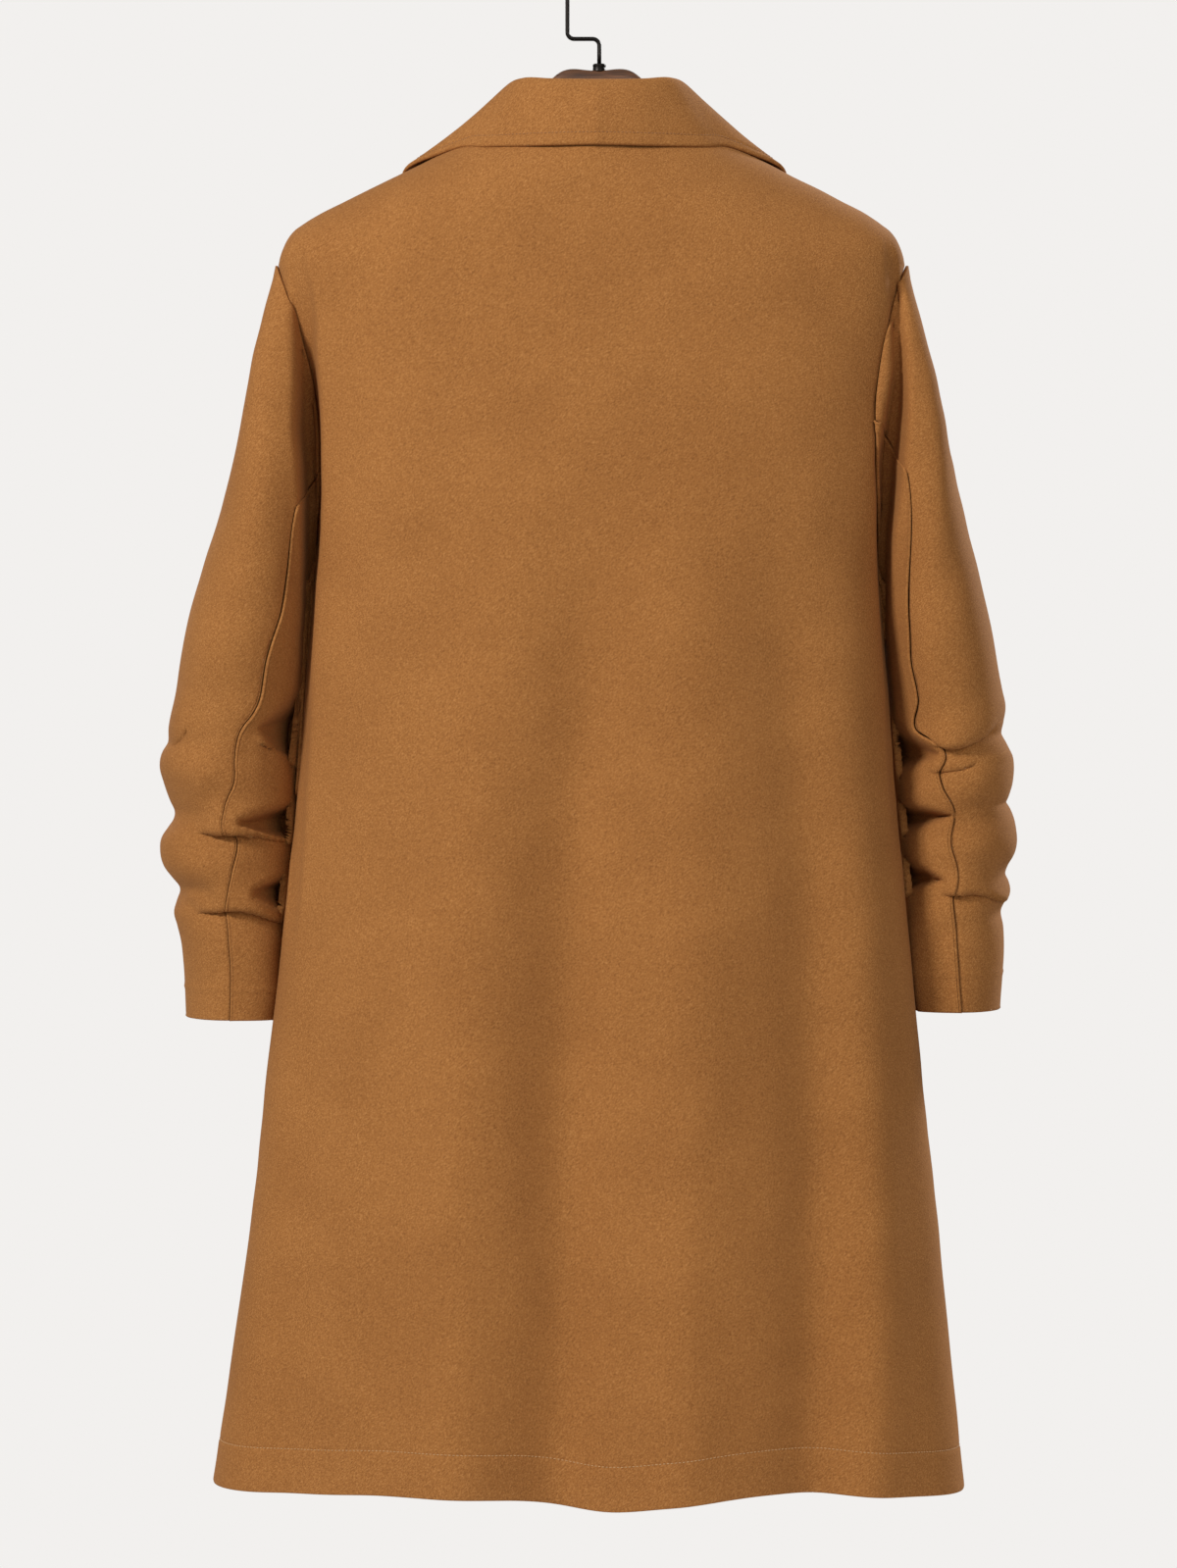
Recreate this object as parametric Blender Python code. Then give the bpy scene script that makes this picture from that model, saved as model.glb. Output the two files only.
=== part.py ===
"""A felted wool overcoat on a wooden hanger: back, two fronts, two-piece sleeves, collar, lapels and buttons.

Sizes are in millimetres and become metres where a mesh is made. +Z is up, the coat faces -Y, and +X is the
side of its left sleeve. The origin is the inside of the hook's top, where a rail carries the hanger.
Each cloth piece is a wall: a grid of outer points worked out from the sizes below, and the same grid moved in
by the cloth's thickness.
"""

import bmesh
import bpy
import numpy as np


def table(columns, rows):
    """Rows of numbers as one array for each named column."""
    return dict(zip(columns.split(), np.array(rows, float).T))


# ---- Driving dimensions ----

MM = 0.001
CLOTH = 2.2  # thickness of the felted wool
SEAM_GAP = 0.3  # between two pieces that are sewn together
LAPEL_GAP = 1.3  # under the lapels, which lie loosely

NECK_HALF = 80.0  # from the centre back to the neck's side point
NECK_SIDE_Z = -133.0
NECK_BACK_Z = -136.0
SHOULDER_HALF = 234.5  # from the centre to the seam at the shoulder's end
SHOULDER_Z = -236.0
ARMPIT_Z = -476.0
ARMHOLE_DEPTH = 45.0  # half of its width from front to back
SIDE_Y = -3.0  # the side seams' plane
SHOULDER_ROLL = 75.0  # height over which the shoulder rounds into the back and the front
ROUNDNESS = 2.5  # exponent of the body's section: 2 is an ellipse, more is squarer

OVERLAP = 20.0  # each front passes the centre by this much
OVERLAP_LIFT = 3.2  # how far the left front stands off the form where it lies on the right one
GORGE_X = 58.0  # where the collar seam meets the roll line
GORGE_Z = -190.0
BREAK_Z = -505.0  # where the roll line ends, above the top button

ARMHOLE_STEPS = 10  # rows from the shoulder's end to the armpit
SKIRT_STEPS = 11  # rows from the armpit to the hem
SHOULDER_STEPS = 13
NECK_STEPS = 5

# The ridge of the shoulder: its height by distance from the centre.
RIDGE = table("x z", [
    (0, -93), (80, -133), (153, -170.5), (187, -187.5), (208, -198.5), (218, -205),
    (225, -212), (230.5, -221.5), (233.6, -230), (234.5, -236),
])

# The seam of the armhole: its distance from the centre by height, top last.
ARMHOLE = table("z x", [
    (-476, 216), (-440, 212), (-400, 209), (-333, 210.5), (-303, 216), (-280, 222), (-255, 228.5),
    (-236, 234.5),
])

# The body below the armpit, and its depths all the way up: half width, centre back, centre front, and the
# sideways shift.
BODY = table("z half back front shift", [
    (-1160, 283.5, 112, -92, 4), (-1072, 273, 110, -92, 2), (-998, 264, 108, -91, 0),
    (-924, 255.5, 106, -90, -1), (-850, 247.5, 104, -90, -1), (-740, 236, 102, -92, -2),
    (-657, 227.5, 100, -94, -2), (-598, 223, 99, -96, -2), (-540, 219.5, 98, -97, -2),
    (-476, 216, 96, -98, -2), (-400, 216, 92, -92, -3), (-331, 216, 86, -84, -1),
    (-250, 216, 76, -72, 1.5), (-200, 216, 67, -62, 0.5), (-150, 216, 56, -50, -1.5),
    (-131, 216, 50, -46, -2.5),
])

# The hem's height by distance from the centre.
HEM = table("x z", [
    (-283, -1156), (-200, -1148), (-130, -1145), (-60, -1151), (-16, -1156), (60, -1147), (144, -1145),
    (233, -1149), (283, -1151),
])

# The long soft folds of the back, then of the front: place at armpit, waist and hem, half width, and height at
# each.
BACK_FOLDS = table("x_top x_mid x_hem width h_top h_mid h_hem", [
    (26, 48, 55, 30, -3, -9, -13), (-50, -36, -18, 36, 3, 6, 11), (-138, -140, -135, 27, -5, -9, -12),
    (-192, -196, -202, 30, 3, 6, 9), (104, 146, 150, 42, 4, 6, 8), (190, 212, 228, 24, -1, -3, -6),
])
FRONT_FOLDS = table("x_top x_mid x_hem width h_top h_mid h_hem", [
    (120, 128, 134, 34, -3, -6, -9), (172, 184, 196, 30, 2, 5, 9), (-112, -122, -134, 34, -2, -6, -10),
    (-170, -186, -200, 30, 2, 5, 8), (66, 72, 78, 30, 1, 4, 7), (-60, -66, -72, 32, 1, 4, 6),
])
FOLD_TOP, FOLD_MID, FOLD_HEM = -300.0, -740.0, -1150.0
FOLD_SPREAD = 1.15  # the folds reach their hem size a little above the hem
SEAM_LEAN = 0.4  # how steeply the wall's edge leans down where the armhole meets the shoulder seam


# ---- Helpers ----

def along(rows, column, key, at):
    """A column's value where the key column is `at`: a cubic through the rows, sloped as its neighbours are."""
    order = np.argsort(rows[key])
    x, y = rows[key][order], rows[column][order]
    slope = np.gradient(y, x)
    at = np.clip(at, x[0], x[-1])
    i = np.clip(np.searchsorted(x, at) - 1, 0, len(x) - 2)
    step = x[i + 1] - x[i]
    t = (at - x[i]) / step
    rise = y[i + 1] - y[i]
    start, end = slope[i] * step - rise, rise - slope[i + 1] * step
    return y[i] + rise * t + t * (1 - t) * (start * (1 - t) + end * t)


def ease(t):
    """0 below 0, 1 above 1, and a soft S between."""
    t = np.clip(t, 0, 1)
    return t * t * (3 - 2 * t)


def unit(v):
    return v / np.maximum(np.linalg.norm(v, axis=-1, keepdims=True), 1e-9)


def grid_normals(grid):
    """The unit normal at each point of a grid: the cross product of its slopes along rows and along columns."""
    return unit(np.cross(np.gradient(grid, axis=1), np.gradient(grid, axis=0)))


def pull_back(grid, edges, by=SEAM_GAP / 2):
    """The grid with the named edges moved in along the cloth by half a seam's gap."""
    grid = grid.copy()
    pairs = {"top": (0, 1), "bottom": (-1, -2)}
    for name in edges:
        if name in pairs:
            edge, inside = pairs[name]
            grid[edge] += unit(grid[inside] - grid[edge]) * by
        else:
            edge, inside = {"first": (0, 1), "last": (-1, -2)}[name]
            grid[:, edge] += unit(grid[:, inside] - grid[:, edge]) * by
    return grid


def material(name, color, roughness, metallic=0.0):
    made = bpy.data.materials.new(name)
    made.use_nodes = True
    shader = made.node_tree.nodes["Principled BSDF"]
    shader.inputs["Base Color"].default_value = (*color, 1)
    shader.inputs["Roughness"].default_value = roughness
    shader.inputs["Metallic"].default_value = metallic
    return made


def new_object(name, points, faces, color, roughness, metallic=0.0):
    """An object of its own material from points in millimetres."""
    mesh = bpy.data.meshes.new(name)
    mesh.from_pydata((np.asarray(points) * MM).tolist(), [], faces)
    shape = bmesh.new()
    shape.from_mesh(mesh)
    bmesh.ops.recalc_face_normals(shape, faces=shape.faces)
    if shape.calc_volume(signed=True) < 0:
        bmesh.ops.reverse_faces(shape, faces=shape.faces)
    shape.to_mesh(mesh)
    shape.free()
    mesh.shade_smooth()
    mesh.set_sharp_from_angle(angle=np.radians(50))
    made = bpy.data.objects.new(name, mesh)
    made.data.materials.append(material(name, color, roughness, metallic))
    bpy.context.collection.objects.link(made)
    return made


def sheet_wall(name, outer, inner, color=(0.38, 0.16, 0.048), roughness=0.95):
    """A closed wall between two grids of one size, joined along their four edges."""
    rows, columns = outer.shape[:2]
    index = np.arange(rows * columns).reshape(rows, columns)
    quads = np.stack([index[:-1, :-1], index[:-1, 1:], index[1:, 1:], index[1:, :-1]], -1).reshape(-1, 4)
    rim = np.concatenate([index[0, :-1], index[:-1, -1], index[-1, :0:-1], index[:0:-1, 0]])
    following = np.roll(rim, -1)
    under = rows * columns
    sides = np.stack([rim, following, following + under, rim + under], -1)
    faces = np.concatenate([quads, quads[:, ::-1] + under, sides[:, ::-1]])
    points = np.concatenate([outer.reshape(-1, 3), inner.reshape(-1, 3)])
    return new_object(name, points, faces.tolist(), color, roughness)


# ---- The body's form ----

def armhole_edge(z):
    """Distance from the centre, and half depth, of the armhole's seam at a height; below it, the side seam's."""
    half_height = (SHOULDER_Z - ARMPIT_Z) / 2
    cosine = np.clip((z - ARMPIT_Z) / half_height - 1, -1, 1)
    depth = ARMHOLE_DEPTH * np.sqrt(1 - cosine**2)
    x = np.where(z < ARMPIT_Z, along(BODY, "half", "z", z), along(ARMHOLE, "x", "z", z))
    return x, depth


def folds(x, z, rows):
    """Height of the long folds: each is a soft bell across the cloth, growing from the shoulders to the hem."""
    down = ease((FOLD_TOP - z) / (FOLD_TOP - FOLD_HEM) * FOLD_SPREAD)
    middle = (FOLD_TOP - FOLD_MID) / (FOLD_TOP - FOLD_HEM)
    path = np.array([0, middle, 1])
    height = np.zeros_like(x)
    for x_top, x_mid, x_hem, width, h_top, h_mid, h_hem in zip(*rows.values()):
        at = np.interp(down, path, [x_top, x_mid, x_hem])
        size = np.interp(down, path, [h_top, h_mid, h_hem])
        height += size * ease(down * 4) * np.exp(-((x - at) / width) ** 2)
    return height


def form_y(x, z, side):
    """The body's depth at a place: a squarish oval through the side seams, rounded in at the ridge."""
    edge_x, edge_depth = armhole_edge(z)
    centre = along(BODY, "back" if side > 0 else "front", "z", z)
    reach = np.abs(centre - SIDE_Y)
    width = edge_x / (1 - (edge_depth / reach) ** ROUNDNESS) ** (1 / ROUNDNESS)
    across = np.clip(np.abs(x) / width, 0, 1)
    depth = reach * (1 - across**ROUNDNESS) ** (1 / ROUNDNESS)
    below = along(RIDGE, "z", "x", np.abs(x)) - z
    roll = SHOULDER_ROLL * (1 - across**4) + 6
    depth *= np.sqrt(1 - (1 - np.clip(below / roll, 0, 1)) ** 2)
    fade = 1 - across**6
    waves = folds(x, z, BACK_FOLDS if side > 0 else FRONT_FOLDS) * fade
    return SIDE_Y + side * (depth + waves)


def shift(z):
    """How far the coat hangs to the side of its hanger at a height."""
    return along(BODY, "shift", "z", z)


def row_shares():
    """Each row's share of the way from the top edge to the hem: the armhole's rows, then the skirt's."""
    whole = SHOULDER_Z - along(HEM, "z", "x", SHOULDER_HALF + 40)
    turn = np.linspace(0, np.pi, ARMHOLE_STEPS + 1)
    upper = (SHOULDER_Z - ARMPIT_Z) * (1 - np.cos(turn)) / 2 / whole
    lower = np.linspace(upper[-1], 1, SKIRT_STEPS + 1)[1:]
    return np.concatenate([upper, lower])


def seam_directions(x):
    """The wall's direction at the shoulder seam: square to the ridge, and inwards."""
    reach = 1.0
    drop = along(RIDGE, "z", "x", np.abs(x) + reach) - along(RIDGE, "z", "x", np.abs(x) - reach)
    slope = np.sign(x) * drop / (2 * reach)
    return unit(np.stack([slope, np.zeros_like(slope), -np.ones_like(slope)], -1))


def shoulder_columns():
    """Distances from the centre of the columns that end on the shoulder seam, neck's side point first."""
    turn = np.linspace(0, np.pi / 2, SHOULDER_STEPS + 1)
    return NECK_HALF + (SHOULDER_HALF - NECK_HALF) * np.sin(turn)


def hung_rows(top_x, top_z, place_x, side):
    """Rows of points from a panel's top edge to the hem, on the body's form; place_x gives x at any height."""
    top_z = top_z + 0 * top_x
    hem_z = along(HEM, "z", "x", place_x(np.full_like(top_x, FOLD_HEM)))
    share = row_shares()[:, None]
    z = top_z + (hem_z - top_z) * share
    x = place_x(z)
    x[0] = top_x
    y = form_y(x, z, side)
    return np.stack([x, y, z], -1)


def panel_wall(name, grid, outward, seams, shoulder):
    """A body panel's wall: its thickness runs square to the cloth, and along shared planes at the seams."""
    way = grid_normals(grid)
    way *= -outward
    top = seam_directions(grid[0, shoulder, 0])
    way[0, shoulder] = top
    way[1, shoulder] = unit(way[1, shoulder] + top)
    for column in ("first", "last"):
        if column in seams:
            at = 0 if column == "first" else -1
            inwards = np.array([-np.sign(grid[-1, at, 0]), 0, 0])
            way[ARMHOLE_STEPS:, at] = inwards
            way[0, at] = unit(inwards + [0, 0, -SEAM_LEAN])
    grid = grid + np.stack([shift(grid[..., 2]), 0 * grid[..., 2], 0 * grid[..., 2]], -1)
    outer = pull_back(grid, seams)
    return sheet_wall(name, outer, outer + way * CLOTH)


def back_grid():
    sleeve_side = shoulder_columns()
    neck = NECK_HALF * np.sin(np.linspace(0, np.pi / 2, NECK_STEPS + 1))[:-1]
    half = np.concatenate([neck, sleeve_side])
    x = np.concatenate([-half[:0:-1], half])
    inside = np.abs(x) < NECK_HALF
    neck_z = NECK_BACK_Z + (NECK_SIDE_Z - NECK_BACK_Z) * (x / NECK_HALF) ** 2
    z = np.where(inside, neck_z, along(RIDGE, "z", "x", np.abs(x)))
    return hung_rows(x, z, lambda z: x / SHOULDER_HALF * armhole_edge(z)[0], 1)


def make_back():
    grid = back_grid()
    shoulder = np.abs(grid[0, :, 0]) >= NECK_HALF - 1
    panel_wall("back", grid, 1, ("top", "first", "last"), shoulder)


# ---- Fronts ----

LIFT_FROM, LIFT_OVER = 66.0, 30.0  # where the left front starts to stand off, and over what width

def front_edge_x(z):
    """The front's inner edge: down the roll line from the gorge, then straight, past the centre."""
    down = np.clip((GORGE_Z - z) / (GORGE_Z - BREAK_Z), 0, 1)
    return GORGE_X + (-OVERLAP - GORGE_X) * down


def front_point(x, z, sign):
    """A point of the front's form; the left front stands off where it lies on the right one."""
    y = form_y(x, z, -1)
    if sign > 0:
        y = y - OVERLAP_LIFT * ease((LIFT_FROM - x) / LIFT_OVER)
    return np.stack([x, y, z], -1)


def front_grid(sign):
    """The front's outer points, from its inner edge to the side; sign is 1 for the left one, -1 for the right."""
    turn = np.linspace(0, np.pi / 2, NECK_STEPS + 1)[:-1]
    neck_x = GORGE_X + (NECK_HALF - GORGE_X) * np.sin(turn)
    neck_z = GORGE_Z + (NECK_SIDE_Z - GORGE_Z) * (1 - np.cos(turn))
    shoulder_x = shoulder_columns()
    top_x = np.concatenate([neck_x, shoulder_x])
    top_z = np.concatenate([neck_z, along(RIDGE, "z", "x", shoulder_x)])
    part = (top_x - GORGE_X) / (SHOULDER_HALF - GORGE_X)

    def place_x(z):
        inner = front_edge_x(z)
        return sign * (inner + (armhole_edge(z)[0] - inner) * part)

    grid = hung_rows(sign * top_x, top_z, place_x, -1)
    return front_point(grid[..., 0], grid[..., 2], sign)


def make_fronts():
    for name, sign in (("front_left", 1), ("front_right", -1)):
        grid = front_grid(sign)
        shoulder = np.abs(grid[0, :, 0]) >= NECK_HALF - 1
        panel_wall(name, grid, -sign, ("top", "last"), shoulder)


# ---- Sleeves ----

SLEEVE_TOP = -485.0  # the first ring that goes all round, below the armhole
CUFF_Z = {1: -805.0, -1: -799.0}
SLEEVE_TILT = 35.0  # how much higher that ring's outer side is than its middle
CLEAR = 2.6  # between the sleeve and the body's side
SLEEVE_GAP = 0.25  # at each side of its two seams, which run askew in the cap
CAP_STEPS = 5
UNDER_FROM = {1: 6, -1: 5}  # the hind-arm seam's place among the armhole's points, from the shoulder's end
UNDER_TO = 14  # the inner seam's place there
CAP_OUT, CAP_BACK, CAP_LEVEL = 0.2, 0.35, 0.45  # how far the cap leaves outwards, backwards, less steeply

# The sleeve hanging: its outer edge left and right, its inner edge, middle and half depth from front to back.
SLEEVE = table("z left right inner middle half_depth", [
    (-440, 286, 284, 216, -6, 62), (-485, 300, 296, 218, -12, 68), (-530, 313, 306, 221, -20, 72),
    (-568, 322, 313, 223, -28, 71), (-613, 326, 317, 225, -34, 68), (-660, 327, 318, 226, -38, 65),
    (-710, 324, 315, 228, -42, 62), (-760, 318, 312, 230, -44, 59), (-810, 315, 311, 231, -46, 57),
])

# The hind-arm seam's distance from the centre by height.
HIND_SEAM = table("z left right", [
    (-810, 275, 274.5), (-740, 276, 270), (-700, 275, 269), (-650, 276, 265), (-610, 270, 259),
    (-570, 257, 243), (-520, 245, 234), (-480, 235, 232),
])

# The creases that the long sleeve sinks into, left and right: height outside, drop across to the body, depth.
CREASES = {
    1: table("z drop depth", [(-560, 8, 5), (-597, 6, 8), (-656, 10, 10), (-710, 6, 9), (-742, 2, 3)]),
    -1: table("z drop depth", [(-553, 8, 5), (-588, 4, 8), (-643, 8, 10), (-698, 5, 9), (-736, 2, 4)]),
}


def armhole_ring(sign):
    """The armhole's seam, from the shoulder's end over the back to the armpit and up the front."""
    turn = np.linspace(0, 2 * np.pi, 2 * ARMHOLE_STEPS + 1)
    z = ARMPIT_Z + (SHOULDER_Z - ARMPIT_Z) * (1 + np.cos(turn)) / 2
    x = sign * along(ARMHOLE, "x", "z", z)
    y = np.where(turn <= np.pi, form_y(x, z, 1), form_y(x, z, -1))
    return turn, np.stack([x, y, z], -1)


def rolls(z, across, rows):
    """The sleeve's soft rolls: out quickly below each crease, then slowly in again to the next."""
    swell = np.zeros_like(z)
    above = list(zip(rows["z"], rows["drop"]))
    for (high_z, high_drop), (low_z, low_drop), depth in zip(above, above[1:], rows["depth"][1:]):
        high, low = high_z - high_drop * across, low_z - low_drop * across
        part = np.clip((high - z) / (high - low), 0, 1)
        swell += depth * (np.sin(np.pi * part**0.65) ** 0.8 - 0.5 * ((part > 0) & (part < 1)))
    return swell


def body_side_x(y, z):
    """How far the body reaches sideways at a depth and a height."""
    half = along(BODY, "half", "z", z)
    reach = np.where(y > SIDE_Y, along(BODY, "back", "z", z), -along(BODY, "front", "z", z))
    across = np.clip(np.abs(y - SIDE_Y) / reach, 0, 1)
    return half * (1 - across**ROUNDNESS) ** (1 / ROUNDNESS)


def sleeve_middle(z, sign):
    """The middle and the half width of the hanging sleeve at a height."""
    outer = along(SLEEVE, "left" if sign > 0 else "right", "z", z)
    inner = along(SLEEVE, "inner", "z", z)
    return (outer + inner) / 2, (outer - inner) / 2


def tube_ring(turn, z, sign):
    """A ring of the hanging sleeve: an oval that flattens where it meets the body's side."""
    middle, half = sleeve_middle(z, sign)
    swell = rolls(z, (1 - np.cos(turn)) / 2, CREASES[sign])
    x = middle + (half + swell) * np.cos(turn)
    y = along(SLEEVE, "middle", "z", z) + (along(SLEEVE, "half_depth", "z", z) + swell) * np.sin(turn)
    limit = body_side_x(y, z) + CLEAR
    return np.stack([sign * np.maximum(x, limit), y, z], -1)


def sleeve_levels(sign):
    """Heights of the rings: wide apart above and below the creases, close together between them."""
    first, last = CREASES[sign]["z"][0] - 4, CREASES[sign]["z"][-1] - 4
    upper = np.linspace(SLEEVE_TOP, first, 4)[:-1]
    creased = np.linspace(first, last, 18)
    lower = np.linspace(last, CUFF_Z[sign], 4)[1:]
    return np.concatenate([upper, creased, lower])


def sleeve_grid(sign):
    """The whole sleeve's outer points, ring by ring from the armhole; its columns follow the two seams."""
    turn, hole = armhole_ring(sign)
    seam, inner_seam = turn[UNDER_FROM[sign]], turn[UNDER_TO]
    rings = []
    for z in sleeve_levels(sign):
        down = (SLEEVE_TOP - z) / (SLEEVE_TOP - CUFF_Z[sign])
        middle, half = sleeve_middle(z, sign)
        moved = np.arccos((along(HIND_SEAM, "left" if sign > 0 else "right", "z", z) - middle) / half)
        angle = np.interp(turn, [0, seam, inner_seam, 2 * np.pi], [0, moved, inner_seam, 2 * np.pi])
        tilt = SLEEVE_TILT * (1 - ease(down * 2))
        rings.append(tube_ring(angle, z + tilt * np.cos(angle), sign))
    first, second = rings[0], rings[1]
    back = np.sin(turn)
    level = np.abs(back)
    leave = np.stack([sign * (CAP_OUT + 0.5 * level), CAP_BACK * back, -1 + CAP_LEVEL * level], -1)
    span = np.linalg.norm(first - hole, axis=1, keepdims=True)
    leave = unit(leave) * span
    arrive = unit(second - first) * span
    cap = []
    for t in np.linspace(0, 1, CAP_STEPS + 1)[:-1]:
        stay, go = 1 - ease(t), ease(t)
        point = hole * stay + first * go + leave * t * (1 - t) ** 2 - arrive * t * t * (1 - t)
        cap.append(point)
    grid = np.array(cap + rings)
    low = grid[..., 2] < ARMPIT_Z - 1
    limit = body_side_x(grid[..., 1], grid[..., 2]) + CLEAR
    grid[..., 0] = np.where(low, sign * np.maximum(np.abs(grid[..., 0]), limit), grid[..., 0])
    return grid


def make_sleeves():
    for word, sign in (("left", 1), ("right", -1)):
        grid = sleeve_grid(sign)
        looped = np.concatenate([grid[:, -2:-1], grid, grid[:, 1:2]], axis=1)
        way = grid_normals(looped)[:, 1:-1] * sign
        grid[..., 0] += shift(np.maximum(grid[..., 2], ARMPIT_Z))
        top = np.r_[UNDER_TO:grid.shape[1] - 1, 0:UNDER_FROM[sign] + 1]
        under = np.r_[UNDER_FROM[sign]:UNDER_TO + 1]
        for piece, columns in (("top", top), ("under", under)):
            outer = pull_back(pull_back(grid[:, columns], ("first", "last"), SLEEVE_GAP), ("top",), SEAM_GAP)
            sheet_wall(f"sleeve_{word}_{piece}", outer, outer + way[:, columns] * CLOTH)


# ---- Collar ----

COLLAR_STEPS = 2 * NECK_STEPS  # columns from the centre back to each end, at the neck seam's own points
STAND_PATH = np.array([0, 0.5, 0.8])
FALL_PATH = np.array([0, 0.1, 0.25, 0.45, 0.7, 1])
CREST_ROLL = 8.0  # how far the cloth runs level as it turns over at the crest
NECK_LIFT = 0.7  # the stand's lower edge above the back's neck edge
FALL_GAP = 1.4  # under the fall, where it lies on the coat
FALL_LEAN = 0.6  # how far out the fall swings before it comes down, away from the centre back

# The collar's crest and its outer edge, by share of the way from the centre back to the gorge.
CREST = table("share x y z", [
    (0, 0, 40, -107), (0.2, 32, 36, -105.5), (0.35, 51, 24, -102), (0.5, 62, 2, -102.5),
    (0.65, 68, -22, -123), (0.8, 66, -42, -151), (1, 60, -61.5, -184),
])
COLLAR_EDGE = table("share x y z", [
    (0, 0, 59, -152.5), (0.2, 45, 51, -152), (0.33, 83, 34.5, -150), (0.4, 101, 20, -148),
    (0.46, 123, 9, -153.5), (0.52, 142, -3, -159.5), (0.6, 147, -24, -171), (0.8, 141, -47, -191),
    (1, 126, -61, -205),
])


def neck_point(share, sign):
    """A point of the neck seam: over the back to the shoulder, then down the front to the gorge."""
    back_x = NECK_HALF * np.sin(np.pi / 2 * np.minimum(share * 2, 1))
    back_z = NECK_BACK_Z + (NECK_SIDE_Z - NECK_BACK_Z) * (back_x / NECK_HALF) ** 2
    turn = np.pi / 2 * np.clip(2 - share * 2, 0, 1)
    front_x = GORGE_X + (NECK_HALF - GORGE_X) * np.sin(turn)
    front_z = GORGE_Z + (NECK_SIDE_Z - GORGE_Z) * (1 - np.cos(turn))
    at_back = share <= 0.5
    x = sign * np.where(at_back, back_x, front_x)
    z = np.where(at_back, back_z, front_z)
    y = np.where(at_back, form_y(x, z, 1), form_y(x, z, -1))
    return np.stack([x, y, z], -1)


def bezier(points, t):
    """A cubic through the first and last of four points, drawn towards the two between."""
    a, b, c, d = points
    t = t[:, None, None]
    return a * (1 - t) ** 3 + 3 * b * t * (1 - t) ** 2 + 3 * c * t * t * (1 - t) + d * t**3


def collar_grid():
    """The collar's face: up the stand from the neck seam, over the crest, and down the fall."""
    share = np.linspace(-1, 1, 2 * COLLAR_STEPS + 1)
    sign, far = np.where(share < 0, -1, 1), np.abs(share)
    mirror = np.stack([sign, np.ones_like(far), np.ones_like(far)], -1)
    crest = np.stack([along(CREST, c, "share", far) for c in "xyz"], -1) * mirror
    edge = np.stack([along(COLLAR_EDGE, c, "share", far) for c in "xyz"], -1) * mirror
    neck = neck_point(far, sign)
    outwards = unit((edge - crest) * [1, 1, 0])
    neck = neck - outwards * (CLOTH + SEAM_GAP) + [0, 0, NECK_LIFT]
    height = np.linalg.norm(crest - neck, axis=1, keepdims=True)
    roll = np.minimum(CREST_ROLL, height * 0.45)
    lean = ease(far / 0.4)[:, None]
    stand = bezier((neck, neck + (crest - neck) * [0.1, 0.1, 0.5], crest - outwards * roll, crest), STAND_PATH)
    swing = np.concatenate([FALL_LEAN * lean, FALL_LEAN * lean, 0.5 - 0.1 * lean], axis=1)
    low = edge + (crest - edge) * swing
    fall = bezier((crest, crest + outwards * roll, low, edge), FALL_PATH)
    off = CLOTH + FALL_GAP
    x, y, z = fall[..., 0], fall[..., 1], fall[..., 2]
    under_ridge = z < along(RIDGE, "z", "x", np.abs(x))
    behind = np.where(under_ridge, np.maximum(y, form_y(x, z, 1) + off), y)
    before = np.where(under_ridge, np.minimum(y, form_y(x, z, -1) - off - OVERLAP_LIFT * (far > 0.95)), y)
    fall[..., 1] = np.where(far < 0.5, behind, before)
    return np.concatenate([stand, fall])


def make_collar():
    grid = collar_grid()
    way = grid_normals(grid)
    grid[..., 0] += shift(grid[..., 2])
    sheet_wall("collar", grid, grid + way * CLOTH)


# ---- Lapels ----

LAPEL_TURN = np.radians([0, 50, 95, 140, 180])  # the fold along the roll line
LAPEL_ACROSS = np.array([0.1, 0.3, 0.55, 0.78, 1])
NOTCH_SHARE = 0.55  # how much of the lapel's top edge is sewn to the collar
GORGE_SLOPE = -0.22
GORGE_GAP = 1.2  # between the lapel's sewn edge and the collar

# The lapel's outer edge, from its tip to the end of the roll line.
LAPEL_EDGE = table("share x z", [
    (0, 130, -226), (0.15, 112, -270), (0.5, 62, -352), (0.8, 13, -440), (1, -17, -496),
])


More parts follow.
